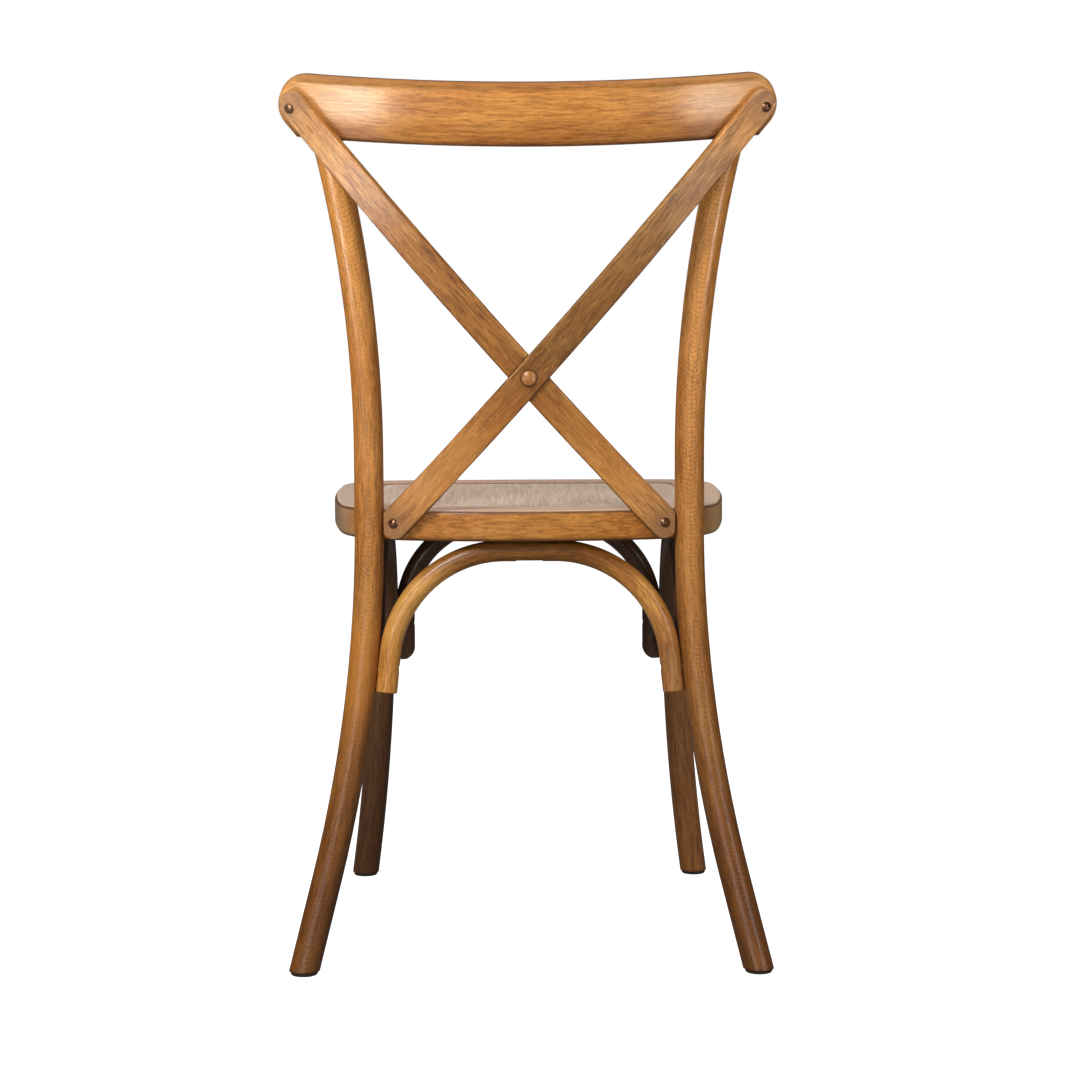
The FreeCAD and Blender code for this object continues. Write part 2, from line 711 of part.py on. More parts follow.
def back_leg(side_name, side):
    label = f"rear_leg_{side_name}"
    body = new_body(label + "_bar")
    glide = size("glide_thickness")
    lean = math.asin((size("low_bend_top") - size("foot_straight_top")) / size("low_bend_radius"))
    reach = back_leg_offset(0.0)
    past = LEG
    start = (reach + math.tan(lean) * past, -past)
    spare = LEG
    rise = (size("post_top") + spare - size("high_bend_start")) / size("high_bend_radius")
    steps = [
        ("run", (size("foot_straight_top") + past) / math.cos(lean)),
        ("bend", "@low_bend_radius", lean),
        ("run", size("high_bend_start") - size("low_bend_top")),
        ("bend", "@high_bend_radius", math.asin(rise)),
    ]
    bent_bar(body, start, -lean, steps, "@leg_radius")
    angle = size("back_bend_angle")
    turn = angle if side > 0 else 180 - angle
    place = FreeCAD.Rotation(Vector(0, 0, 1), turn)
    body.Placement = FreeCAD.Placement(Vector(side * POST_X, POST_Y, 0), place)
    floor = box(label + "_floor", 2 * BLOCK, 2 * BLOCK, BLOCK, FreeCAD.Placement())
    below = back_leg_point(side, glide)
    floor.Placement.Base = below - Vector(BLOCK, BLOCK, BLOCK)
    head = back_leg_point(side, size("post_top"))
    above = FreeCAD.Placement(head, RAIL_FRAME.Rotation)
    head_box = box(label + "_above", 2 * BLOCK, 2 * BLOCK, BLOCK, above)
    trimmed = cut(label + "_trimmed", body, [floor, head_box])
    eased = round_edges(
        label + "_foot_eased",
        trimmed,
        "@foot_arris",
        lambda edge: edge.Length > BLOCK and abs(edge.CenterOfMass.z - glide) < 1,
    )
    doc.recompute()
    chamfered = doc.addObject("Part::Chamfer", label + "_head_eased")
    chamfered.Base = eased
    ease = size("post_head_chamfer")
    chamfered.Edges = [
        (number, ease, ease)
        for number, edge in enumerate(eased.Shape.Edges, 1)
        if edge.Length > BLOCK and edge.CenterOfMass.distanceToPoint(head) < LEG
    ]
    tangent = post_head_direction(side)
    tenon = cylinder(
        label + "_tenon", "@tenon_radius", "@tenon_length + @leg_radius", head - tangent * LEG, tangent
    )
    whole = fuse(label + "_whole", [chamfered, tenon])
    outward, contact, _ = post_bolt_line(side)
    rear_point = rear_hoop_line(REAR_SCREW_Z)
    side_point = side_hoop_rear(SIDE_SCREW_Z)
    if side < 0:
        rear_point = mirrored(rear_point)
        side_point = mirrored(side_point)
    tools = [
        cylinder(
            label + "_insert_hole",
            "@insert_radius",
            "@insert_length + @leg_radius + 1",
            contact - outward * LEG,
            outward,
        )
    ]
    for number, (point, height) in enumerate(((rear_point, REAR_SCREW_Z), (side_point, SIDE_SCREW_Z))):
        direction, head_point = hoop_leg_joint(point, back_leg_point(side, height))
        tools.append(
            cylinder(
                f"{label}_hoop_hole_{number}",
                "@wood_screw_radius",
                "@hoop_screw_length",
                head_point,
                direction,
            )
        )
    tools.append(nail_hole(label, below))
    return keep(cut(label, whole, tools))


def post_head_direction(side):
    """The direction of the back post where it meets the crest rail."""
    rise = math.asin((size("post_top") - size("high_bend_start")) / size("high_bend_radius"))
    level = planar(size("back_bend_angle"), side)
    return level * math.sin(rise) + UP * math.cos(rise)


def nail_hole(label, foot):
    return cylinder(
        label + "_nail_hole", "@nail_radius", "@nail_length + @leg_radius", foot - UP * LEG, UP
    )


# Front legs


def front_leg(side_name, side):
    label = f"front_leg_{side_name}"
    body = new_body(label + "_bar")
    glide = size("glide_thickness")
    top = size("front_bend_top")
    past = LEG
    turn = math.asin((top + past) / size("front_bend_radius"))
    reach = size("front_bend_radius") * (1 - math.cos(turn))
    steps = [
        ("bend", "@front_bend_radius", turn),
        ("run", SEAT_BOTTOM - top),
    ]
    bent_bar(body, (reach, -past), -turn, steps, "@leg_radius")
    angle = size("front_bend_angle")
    rotation = FreeCAD.Rotation(Vector(0, 0, 1), -angle if side > 0 else 180 + angle)
    base = Vector(side * FRONT_X, FRONT_Y, 0)
    body.Placement = FreeCAD.Placement(base, rotation)
    floor = box(label + "_floor", 2 * BLOCK, 2 * BLOCK, BLOCK, FreeCAD.Placement())
    below = front_leg_point(side, glide)
    floor.Placement.Base = below - Vector(BLOCK, BLOCK, BLOCK)
    trimmed = cut(label + "_trimmed", body, [floor])
    eased = round_edges(
        label + "_foot_eased",
        trimmed,
        "@foot_arris",
        lambda edge: edge.Length > BLOCK and abs(edge.CenterOfMass.z - glide) < 1,
    )
    head = front_leg_point(side, SEAT_BOTTOM)
    tenon = cylinder(
        label + "_tenon",
        "@front_tenon_radius",
        "@front_tenon_length + @leg_radius",
        head - UP * LEG,
        UP,
    )
    whole = fuse(label + "_whole", [eased, tenon])
    front_point = front_hoop_point(REAR_SCREW_Z)
    side_point = side_hoop_front(SIDE_SCREW_Z)
    if side < 0:
        front_point = mirrored(front_point)
        side_point = mirrored(side_point)
    tools = [nail_hole(label, below)]
    for number, (point, height) in enumerate(((front_point, REAR_SCREW_Z), (side_point, SIDE_SCREW_Z))):
        direction, head_point = hoop_leg_joint(point, front_leg_point(side, height))
        tools.append(
            cylinder(
                f"{label}_hoop_hole_{number}",
                "@wood_screw_radius",
                "@hoop_screw_length",
                head_point,
                direction,
            )
        )
    return keep(cut(label, whole, tools))


def front_hoop_point(height):
    """The front hoop's leg, beside the front leg where it is still upright."""
    leg = front_leg_point(1, size("front_bend_top"))
    return Vector(leg.x - TOUCH, leg.y, height)


# Hoops

WASHER = size("washer_thickness")
FLAT_Z = HOOP_TOP - HOOP + size("hoop_flat_depth")


def finish_hoop(label, body, screws, centre, end_height, extra=()):
    """Eases a hoop's ends, cuts the flat for its middle screw and drills it."""
    doc.recompute()
    eased = round_edges(
        label + "_eased",
        body,
        "@hoop_end_round",
        lambda edge: edge.Length > 4 * HOOP and edge.CenterOfMass.z < end_height + HOOP
        and edge.BoundBox.DiagonalLength < 4 * HOOP and is_end_circle(edge),
    )
    tools = [
        cylinder(
            label + "_flat",
            "@hoop_flat_radius",
            "2 * @hoop_radius",
            centre + UP * (FLAT_Z - 2 * HOOP),
            UP,
        ),
        cylinder(
            label + "_top_hole",
            "@wood_screw_radius",
            "4 * @hoop_radius",
            centre + UP * (HOOP_TOP - 2 * HOOP),
            UP,
        ),
        cone(
            label + "_top_sink",
            "@hoop_screw_head",
            "@wood_screw_radius",
            "@hoop_screw_head - @wood_screw_radius",
            centre + UP * FLAT_Z,
            UP,
        ),
    ]
    tools += extra
    for number, (direction, head_point) in enumerate(screws):
        tools.append(
            cylinder(
                f"{label}_hole_{number}",
                "@wood_screw_radius",
                "4 * @hoop_radius",
                head_point - direction * HOOP,
                direction,
            )
        )
        tools.append(
            cone(
                f"{label}_sink_{number}",
                "@hoop_screw_head",
                "@wood_screw_radius",
                "@hoop_screw_head - @wood_screw_radius",
                head_point,
                direction,
            )
        )
        tools.append(
            cylinder(
                f"{label}_mouth_{number}",
                "@hoop_screw_head",
                "@hoop_radius",
                head_point - direction * HOOP,
                direction,
            )
        )
    return keep(cut(label, eased, tools))


def is_end_circle(edge):
    """True for the circle round a hoop's end, which lies in one plane across the bar."""
    return isinstance(edge.Curve, Part.Circle) and abs(edge.Curve.Radius - HOOP) < TINY


leg_screws = []


def screw_pair(point, leg_point_of, height):
    pair = []
    for side in SIDES.values():
        hoop_point = point if side > 0 else mirrored(point)
        pair.append(hoop_leg_joint(hoop_point, leg_point_of(side, height)))
    return pair


def rear_hoop():
    end = size("hoop_end_height")
    touch = rear_hoop_line(SCREW_Z)
    slant = foot_angle("x", SCREW_Z)
    tilt = math.atan2(touch.y - POST_Y, HOOP_TOP - SCREW_Z)
    body = hoop_body("hoop_rear_bar", touch.x, slant, "@hoop_bend_radius", end)
    pivot = Vector(0, POST_Y, HOOP_TOP)
    rotation = FreeCAD.Rotation(Vector(1, 0, 0), math.degrees(tilt))
    body.Placement = FreeCAD.Placement(pivot - rotation.multVec(Vector(0, 0, HOOP_TOP)), rotation)
    screws = screw_pair(rear_hoop_line(REAR_SCREW_Z), back_leg_point, REAR_SCREW_Z)
    finish_hoop("hoop_rear", body, screws, Vector(0, POST_Y, 0), end)
    return screws


def front_hoop():
    end = size("front_hoop_end_height")
    touch = front_hoop_point(SCREW_Z)
    body = hoop_body("hoop_front_bar", touch.x, 0.0, "@front_hoop_bend_radius", end)
    body.Placement = FreeCAD.Placement(Vector(0, touch.y, 0), FreeCAD.Rotation())
    screws = screw_pair(front_hoop_point(REAR_SCREW_Z), front_leg_point, REAR_SCREW_Z)
    corners = [hoop_corner(f"hoop_front_{name}", side, touch, end) for name, side in SIDES.items()]
    finish_hoop("hoop_front", body, screws, Vector(0, touch.y, 0), end, corners)
    return screws


def hoop_corner(label, side, touch, end):
    """What rounds the inner lower corner of one of the front hoop's legs."""
    curve = size("front_hoop_end_curve")
    inner = touch.x - HOOP
    middle_x = side * (inner + curve / 2 - LEG / 2)
    place = FreeCAD.Placement(Vector(middle_x, touch.y, end - LEG), FreeCAD.Rotation())
    block = box(label + "_corner_block", curve + LEG, 4 * HOOP, curve + LEG, place)
    base = Vector(side * (inner + curve), touch.y - 3 * HOOP, end + curve)
    rounding = cylinder(
        label + "_corner_curve", "@front_hoop_end_curve", "6 * @hoop_radius", base, REAR
    )
    return cut(label + "_corner", block, [rounding])


def side_hoop(side_name, side):
    """A side hoop: its rear leg slants with the back leg, its front leg stands upright."""
    label = f"hoop_{side_name}"
    end = size("hoop_end_height")
    rear_touch = side_hoop_rear(SCREW_Z)
    front_touch = side_hoop_front(SCREW_Z)
    low = side_hoop_rear(SCREW_Z - 1)
    high = side_hoop_rear(SCREW_Z + 1)
    slant = math.atan2(low.y - high.y, 2)
    bend = size("hoop_bend_radius")
    rear_spring = HOOP_TOP - bend * (1 - math.sin(slant))
    front_spring = HOOP_TOP - bend
    rear_flat_y = rear_touch.y - math.tan(slant) * (rear_spring - SCREW_Z) - bend * math.cos(slant)
    front_flat_y = front_touch.y + bend
    body = new_body(label + "_bar")
    steps = [
        ("run", front_spring - end),
        ("bend", "@hoop_bend_radius", math.pi / 2),
        ("run", rear_flat_y - front_flat_y),
        ("bend", "@hoop_bend_radius", math.pi / 2 - slant),
        ("run", (rear_spring - end) / math.cos(slant)),
    ]
    bent_bar(body, (front_touch.y, end), 0.0, steps, "@hoop_radius")
    across = Vector(side * SIDE_HOOP_X, 0, 0)
    body.Placement = FreeCAD.Placement(across, FreeCAD.Rotation(Vector(0, 0, 1), 90))
    screws = []
    for touch_of, leg_of in ((side_hoop_rear, back_leg_point), (side_hoop_front, front_leg_point)):
        point = touch_of(SIDE_SCREW_Z)
        if side < 0:
            point = mirrored(point)
        screws.append(hoop_leg_joint(point, leg_of(side, SIDE_SCREW_Z)))
    middle_y = (rear_flat_y + front_flat_y) / 2
    centre = Vector(side * SIDE_HOOP_X, middle_y, 0)
    finish_hoop(label, body, screws, centre, end)
    return screws, centre


# Crest rail


def rail_outline(view, half):
    """The plank seen from the front: flat edges, rounded ends and a sloping cut under them."""
    width = size("rail_width")
    upper = size("rail_upper_corner")
    lower = size("rail_lower_corner")
    slope = math.radians(size("rail_end_slope"))
    level = width - upper
    middle_turn = math.radians(45)
    foot = Vector(half - lower + lower * math.cos(slope), level - lower * math.sin(slope), 0)
    points = [
        Vector(foot.x - foot.y * math.tan(slope), 0, 0),
        foot,
        Vector(half, level, 0),
        Vector(half - upper, width, 0),
    ]
    lower_crown = Vector(
        half - lower + lower * math.cos(slope / 2), level - lower * math.sin(slope / 2), 0
    )
    upper_crown = Vector(
        half - upper + upper * math.cos(middle_turn), level + upper * math.sin(middle_turn), 0
    )
    other = [mirrored(point) for point in points]
    shapes = [
        Part.LineSegment(other[0], points[0]),
        Part.LineSegment(points[0], points[1]),
        Part.Arc(points[1], lower_crown, points[2]),
        Part.Arc(points[2], upper_crown, points[3]),
        Part.LineSegment(points[3], other[3]),
        Part.Arc(other[3], mirrored(upper_crown), other[2]),
        Part.Arc(other[2], mirrored(lower_crown), other[1]),
        Part.LineSegment(other[1], other[0]),
    ]
    pieces = [view.addGeometry(shape, False) for shape in shapes]
    weld(view, pieces, closed=True)
    bind(view, Sketcher.Constraint("Radius", pieces[2], lower), "@rail_lower_corner")
    bind(view, Sketcher.Constraint("Radius", pieces[3], upper), "@rail_upper_corner")


def crest_rail():
    label = "crest_rail"
    half = size("rail_half_length")
    thickness = size("rail_thickness")
    band = new_body(label + "_band")
    sketch = new_sketch(band, label + "_plan")
    spread = math.asin(min(0.95, (half + thickness) / RAIL_RADIUS))
    centre = Vector(0, -RAIL_RADIUS, 0)
    arcs = []
    for radius in (RAIL_RADIUS + thickness / 2, RAIL_RADIUS - thickness / 2):
        points = [
            centre + Vector(math.sin(share * spread), math.cos(share * spread), 0) * radius
            for share in (-1, 0, 1)
        ]
        arcs.append(points)
    outer, inner = arcs
    pieces = [
        sketch.addGeometry(Part.Arc(*outer), False),
        sketch.addGeometry(Part.LineSegment(outer[2], inner[2]), False),
        sketch.addGeometry(Part.Arc(inner[2], inner[1], inner[0]), False),
        sketch.addGeometry(Part.LineSegment(inner[0], outer[0]), False),
    ]
    weld(sketch, pieces, closed=True)
    for piece, sign in ((pieces[0], "+"), (pieces[2], "-")):
        value = RAIL_RADIUS + (thickness / 2 if sign == "+" else -thickness / 2)
        constraint = Sketcher.Constraint("Radius", piece, value)
        bind(sketch, constraint, f"@rail_radius {sign} @rail_thickness / 2")
    pad(band, label + "_plank", sketch, "@rail_width")
    band.Placement = RAIL_FRAME
    shape = new_body(label + "_front_view")
    view = new_sketch(shape, label + "_ends", "XZ_Plane")
    rail_outline(view, half)
    pad(shape, label + "_view_block", view, "@rail_radius", midplane=True)
    shape.Placement = RAIL_FRAME
    blank = common(label + "_blank", [band, shape])

    def on_face(edge):
        point = RAIL_FRAME.inverse().multVec(middle(edge))
        reach = math.hypot(point.x, point.y + RAIL_RADIUS)
        return abs(abs(reach - RAIL_RADIUS) - thickness / 2) < TINY

    rounded = round_edges(label + "_rounded", blank, "@rail_arris", on_face)
    tools = []
    for side_name, side in SIDES.items():
        head = back_leg_point(side, size("post_top"))
        tangent = post_head_direction(side)
        tools.append(
            cylinder(
                f"{label}_mortise_{side_name}",
                "@tenon_radius + @fit_gap / 2",
                "@tenon_length + @leg_radius + 1",
                head - tangent * LEG,
                tangent,
            )
        )
        point, normal = strap_top_screw(side)
        tools.append(
            cylinder(
                f"{label}_screw_hole_{side_name}",
                "@wood_screw_radius",
                "@strap_screw_length",
                point,
                normal * -1,
            )
        )
    return keep(cut(label, rounded, tools))


# Crossed straps: centre lines, sections and ends


# Below the crossing a strap turns most of its twist near the seat
TWIST_EASE = 0.6


class Strap:
    """A flat bar from the seat frame on one side to the crest rail on the other."""

    def __init__(self, top_side, proud):
        self.side = top_side
        self.half = size("strap_thickness") / 2
        foot, self.foot_normal = OUTLINE.rear_point(-top_side * (POST_X - size("strap_foot_inset")))
        foot.z = STRAP_FOOT_HEIGHT
        top_x = top_side * (size("rail_half_length") - size("strap_top_inset"))
        top, self.top_normal = rail_rear_face(top_x, size("strap_top_rise"))
        self.foot = foot + self.foot_normal * (self.half + GAP)
        self.top = top + self.top_normal * (self.half + GAP)
        self.bow = RAIL_BACK * size("strap_bow") + REAR * (proud * size("strap_step") / 2)
        self.cross_share = abs(self.foot.x) / (abs(self.foot.x) + abs(self.top.x))
        self.length = (self.top - self.foot).Length

    def point(self, share):
        chord = self.foot + (self.top - self.foot) * share
        return chord + self.bow * (4 * share * (1 - share))

    def tangent(self, share):
        chord = self.top - self.foot
        return (chord + self.bow * (4 * (1 - 2 * share))).normalize()

    def cross_normal(self):
        """Square to both straps where they cross."""
        along = self.tangent(self.cross_share)
        return Vector(0, along.z, -along.y).normalize()

    def normal(self, share):
        """The way the strap's rear face looks: it turns from the seat to the rail."""
        middle_normal = self.cross_normal()
        if share < self.cross_share:
            ratio = (max(0.0, share) / self.cross_share) ** TWIST_EASE
            blend = self.foot_normal * (1 - ratio) + middle_normal * ratio
        else:
            ratio = min(1.0, (share - self.cross_share) / (1 - self.cross_share))
            blend = middle_normal * (1 - ratio) + self.top_normal * ratio
        along = self.tangent(share)
        return (blend - along * blend.dot(along)).normalize()

    def frame(self, share):
        """The section's frame: X across the strap, Y to the rear, Z along it.

        Past its two seats the strap runs straight on, flat on the piece it is screwed to."""
        if share < 0 or share > 1:
            rear = self.foot_normal if share < 0 else self.top_normal
            end = 0.0 if share < 0 else 1.0
            along = self.tangent(end)
            along = (along - rear * along.dot(rear)).normalize()
            place = self.point(end) + along * ((share - end) * self.length)
        else:
            along = self.tangent(share)
            rear = self.normal(share)
            place = self.point(share)
        return FreeCAD.Placement(place, FreeCAD.Rotation(rear.cross(along), rear, along, "YZX"))


STRAP_OUTER = Strap(-1, 1)
STRAP_INNER = Strap(1, -1)
STRAPS = {-1: STRAP_OUTER, 1: STRAP_INNER}
CROSS_REAR = STRAP_OUTER.cross_normal()
CROSS_OUTER = STRAP_OUTER.point(STRAP_OUTER.cross_share)
CROSS_DEPTH = (CROSS_OUTER - STRAP_INNER.point(STRAP_INNER.cross_share)).dot(CROSS_REAR)
CROSSING = CROSS_OUTER - CROSS_REAR * (CROSS_DEPTH / 2)


def strap_top_screw(side):
    """The upper screw of the strap that ends on a side: its seat on the rear face and direction."""
    strap = STRAPS[side]
    frame = strap.frame(1.0)
    outward = frame.Rotation.multVec(Vector(1, 0, 0))
    if outward.x * side < 0:
        outward = outward * -1
    rear = strap.normal(1.0)
    depth = strap.half - size("strap_screw_sink")
    return strap.point(1.0) + outward * size("strap_top_screw_offset") + rear * depth, rear


def strap_foot_screw(side):
    """The lower screw of the strap whose foot is on a side."""
    strap = STRAPS[-side]
    rear = strap.normal(0.0)
    return strap.point(0.0) + rear * (strap.half - size("strap_screw_sink")), rear


def strap_body(label, strap, other):
    body = new_body(label + "_bar")
    foot_reach = size("strap_foot_width") / 2 / strap.length
    top_reach = size("strap_top_width") / 2 / strap.length
    cross = strap.cross_share
    shares = [-foot_reach, 0.0, cross / 2, cross, (1 + cross) / 2, 1.0, 1 + top_reach]
    if strap.side > 0:
        shares.reverse()
    sections = []
    for number, share in enumerate(shares):
        taper = min(1.0, max(0.0, share))
        sections.append(
            rectangle_sketch(
                body,
                f"{label}_section_{number}",
                f"@strap_foot_width * {1 - taper:.4f} + @strap_top_width * {taper:.4f}",
                "@strap_thickness",
                strap.frame(share),
            )
        )
    loft = body.newObject("PartDesign::AdditiveLoft", label + "_loft")
    loft.Profile = sections[0]
    loft.Sections = sections[1:]
    doc.recompute()
    width = size("strap_foot_width")
    thickness = size("strap_thickness")
    ends = [strap.frame(-foot_reach).Base, strap.frame(1 + top_reach).Base]

    def at_corner(edge):
        near_end = min(edge.CenterOfMass.distanceToPoint(end) for end in ends) < width
        return near_end and abs(edge.Length - thickness) < 0.5

    rounded = round_edges(label + "_ends", body, "@strap_top_width / 2 - @fit_gap", at_corner)
    eased = round_edges(
        label + "_eased",
        rounded,
        "@strap_arris",
        lambda edge: edge.Length > thickness + 2,
    )
    across = other.frame(other.cross_share).Rotation
    clearance = GAP
    lap_width = width + 4 * clearance
    towards_other = 1 if strap.side > 0 else -1
    corner = across.multVec(Vector(-lap_width / 2, -thickness, -width))
    corner += CROSSING + CROSS_REAR * (towards_other * (thickness - clearance))
    lap = box(label + "_lap", lap_width, 2 * thickness, 2 * width, FreeCAD.Placement())
    lap.Placement = FreeCAD.Placement(corner, across)
    tools = [lap]
    tools.append(
        cylinder(
            label + "_button_hole",
            "@button_bolt_radius",
            "8 * @strap_thickness",
            CROSSING - CROSS_REAR * 4 * thickness,
            CROSS_REAR,
        )
    )
    clear_x = POST_X - LEG - GAP
    beside_post = FreeCAD.Placement(
        Vector(-strap.side * (clear_x + width), POST_Y, SEAT_BOTTOM - LEG), FreeCAD.Rotation()
    )
    tools.append(box(label + "_post_clearance", 2 * width, 4 * LEG, 4 * LEG, beside_post))
    for point, normal in (strap_top_screw(strap.side), strap_foot_screw(-strap.side)):
        number = "top" if point.z > CROSSING.z else "foot"
        tools.append(
            cylinder(
                f"{label}_screw_hole_{number}",
                "@wood_screw_radius",
                "4 * @strap_thickness",
                point + normal * thickness * 2,
                normal * -1,
            )
        )
        tools.append(
            cylinder(
                f"{label}_screw_seat_{number}",
                "@strap_screw_head + @fit_gap",
                "@strap_thickness",
                point,
                normal,
            )
        )
    return keep(cut(label, eased, tools))


# Seat frame and panel


def seat_frame():
    """The whole ring, drilled and notched, before it is parted at its joints."""
    ring = new_body("seat_ring")
    outer = outline_sketch(ring, "ring_outline", 0.0, "0", SEAT_BOTTOM)
    pad(ring, "ring_blank", outer, "@ring_height")
    inset = size("rim_width") + size("ledge_width")
    opening = outline_sketch(
        ring, "ring_opening", inset, "@rim_width + @ledge_width", SEAT_TOP
    )
    pocket(ring, "ring_hole", opening)
    rebate = outline_sketch(ring, "ring_rebate", size("rim_width"), "@rim_width", SEAT_TOP)
    pocket(ring, "ring_ledge", rebate, "@panel_thickness + @panel_recess")
    doc.recompute()

    def upper(edge):
        return outer_edge(edge, SEAT_TOP)

    def lower(edge):
        return outer_edge(edge, SEAT_BOTTOM)

    topped = round_edges("seat_ring_topped", ring, "@seat_arris", upper)
    rounded = round_edges("seat_ring_rounded", topped, "@seat_lower_arris", lower)
    tools = []
    for side_name, side in SIDES.items():
        notch_base = Vector(side * POST_X, POST_Y, SEAT_BOTTOM - LEG)
        tools.append(
            cylinder(
                f"ring_notch_{side_name}",
                "@leg_radius + 2 * @fit_gap",
                "@ring_height + 2 * @leg_radius",
                notch_base,
                UP,
            )
        )
        outward, contact, inner = post_bolt_line(side)
        tools.append(
            cylinder(
                f"ring_bolt_hole_{side_name}",
                "@post_bolt_radius",
                "@rim_width + @ledge_width + @leg_radius",
                inner - outward,
                outward,
            )
        )
        pocket_start = inner - outward * LEG
        tools.append(
            cylinder(
                f"ring_bolt_pocket_{side_name}",
                "@post_bolt_washer + @fit_gap",
                "@post_bolt_pocket + @leg_radius",
                pocket_start,
                outward,
            )
        )
        head = front_leg_point(side, SEAT_BOTTOM)
        tools.append(
            cylinder(
                f"ring_mortise_{side_name}",
                "@front_tenon_radius + @fit_gap / 2",
                "@front_tenon_length + @leg_radius + 1",
                head - UP * LEG,
                UP,
            )
        )
        point, normal = strap_foot_screw(side)
        tools.append(
            cylinder(
                f"ring_strap_hole_{side_name}",
                "@wood_screw_radius",
                "@strap_screw_length",
                point,
                normal * -1,
            )
        )
    for number, base in enumerate(hoop_centres):
        tools.append(
            cylinder(
                f"ring_hoop_hole_{number}",
                "@wood_screw_radius",
                "@hoop_top_screw_length",
                base + UP * FLAT_Z,
                UP,
            )
        )
    for number, (start, direction) in enumerate(dowel_lines()):
        tools.append(
            cylinder(
                f"ring_dowel_hole_{number}",
                "@dowel_radius",
                "@dowel_length + 2 * @fit_gap",
                start - direction * GAP,
                direction,
            )
        )
    return cut("seat_ring_drilled", rounded, tools)


def outer_edge(edge, level):
    """True for an edge of the outer outline that lies flat at a level."""
    point = middle(edge)
    level_edge = abs(point.z - level) < TINY and edge.BoundBox.ZLength < TINY
    return level_edge and outside(point)


def outside(point):
    """True for a point on the outer outline rather than on the opening."""
    for centre, radius, start, end in OUTLINE.arcs():
        reach = math.hypot(point.x - centre.x, point.y - centre.y)
        between = (point - Vector(0, 0, point.z)).distanceToPoint((start + end) * 0.5)
        if abs(reach - radius) < 1 and between < start.distanceToPoint(end) / 2 + LEG:
            return True
    return False


def dowel_lines():
    """The dowels across the four joints of the seat frame."""
    lines = []
    z = SEAT_BOTTOM + (size("ring_height") - size("panel_thickness") - size("panel_recess")) / 2
    for joint in ("rear_joint_y", "front_joint_y"):
        y = POST_Y - size(joint)
        edge = OUTLINE.side_x(y)
        for side in SIDES.values():
            for place in (0, 1):
                x = edge - size("dowel_inset") - place * size("dowel_pitch")
                lines.append((Vector(side * x, y - size("dowel_length") / 2, z), REAR))
    return lines


def seat_pieces(ring):
    """Parts the ring at its four joints."""
    reach = 2 * size("seat_half_width")
    rear_y = POST_Y - size("rear_joint_y")
    front_y = POST_Y - size("front_joint_y")
    back_y = POST_Y + size("seat_rear_reach") + LEG
    near_y = POST_Y - size("seat_front_reach") - LEG
    low = SEAT_BOTTOM - LEG
    tall = size("ring_height") + 2 * LEG
    spans = {
        "seat_rail_rear": (0, 2 * reach, rear_y, back_y),
        "seat_rail_front": (0, 2 * reach, near_y, front_y),
        "seat_rail_left": (reach / 2, reach, front_y, rear_y),
        "seat_rail_right": (-reach / 2, reach, front_y, rear_y),
    }
    for label, (x, x_length, y_low, y_high) in spans.items():
        place = FreeCAD.Placement(Vector(x, (y_low + y_high) / 2, low), FreeCAD.Rotation())
        block = box(label + "_span", x_length, y_high - y_low, tall, place)
        keep(common(label, [ring, block]))


def seat_panel():
    body = new_body("seat_panel")
    level = SEAT_TOP - size("panel_recess") - size("panel_thickness")
    sketch = outline_sketch(
        body, "panel_outline", size("rim_width") + GAP, "@rim_width + @fit_gap", level
    )
    pad(body, "panel_board", sketch, "@panel_thickness")
    return keep(body)


# Fasteners


def fasteners():
    radius = size("wood_screw_radius")
    head = size("hoop_screw_head")
    length = size("hoop_screw_length")
    sink = head - radius
    tip = radius
    shank = radius - PLAY
    countersunk = [(0, 0), (head - PLAY, 0), (shank, sink), (shank, length - tip), (0, length)]
    keep(
        group("hoop_leg_screws", [turned(countersunk, base, way) for way, base in leg_screws])
    )
    long = size("hoop_top_screw_length")
    upright = [(0, 0), (head - PLAY, 0), (shank, sink), (shank, long - tip), (0, long)]
    seats = [centre + UP * FLAT_Z for centre in hoop_centres]
    keep(group("hoop_top_screws", [turned(upright, seat, UP) for seat in seats]))
    keep(group("strap_top_screws", [strap_screw(*strap_top_screw(s)) for s in SIDES.values()]))
    keep(group("strap_foot_screws", [strap_screw(*strap_foot_screw(s)) for s in SIDES.values()]))
    post_fasteners()
    keep(group("seat_frame_dowels", [dowel(*line) for line in dowel_lines()]))


def strap_screw(seat, rear):
    """A domed screw with a cross recess, its head on the strap's rear face."""
    head = size("strap_screw_head")
    dome = size("strap_screw_dome")
    radius = size("wood_screw_radius") - PLAY
    length = size("strap_screw_length") - 1
    shank = [(0, 0), (radius, 0), (radius, length - radius), (0, length)]
    body = turned(shank, Vector(0, 0, 0), UP * -1)
    cap = domed(head, dome, Vector(0, 0, 0), UP)
    solid = body.fuse(cap)
    slot = head / 4
    for turn in (0, 90):
        blade = Part.makeBox(1.3 * head, slot, dome, Vector(-0.65 * head, -slot / 2, 0.35 * dome))
        blade.rotate(Vector(0, 0, 0), UP, turn)
        solid = solid.cut(blade)
    solid = solid.Solids[0]
    solid.Placement = FreeCAD.Placement(seat, rotation_to(rear))
    return solid


def dowel(start, direction):
    length = size("dowel_length")
    radius = size("dowel_radius") - GAP / 4
    ease = radius / 4
    profile = [
        (0, 0),
        (radius - ease, 0),
        (radius, ease),
        (radius, length - ease),
        (radius - ease, length),
        (0, length),
    ]
    return turned(profile, start, direction)


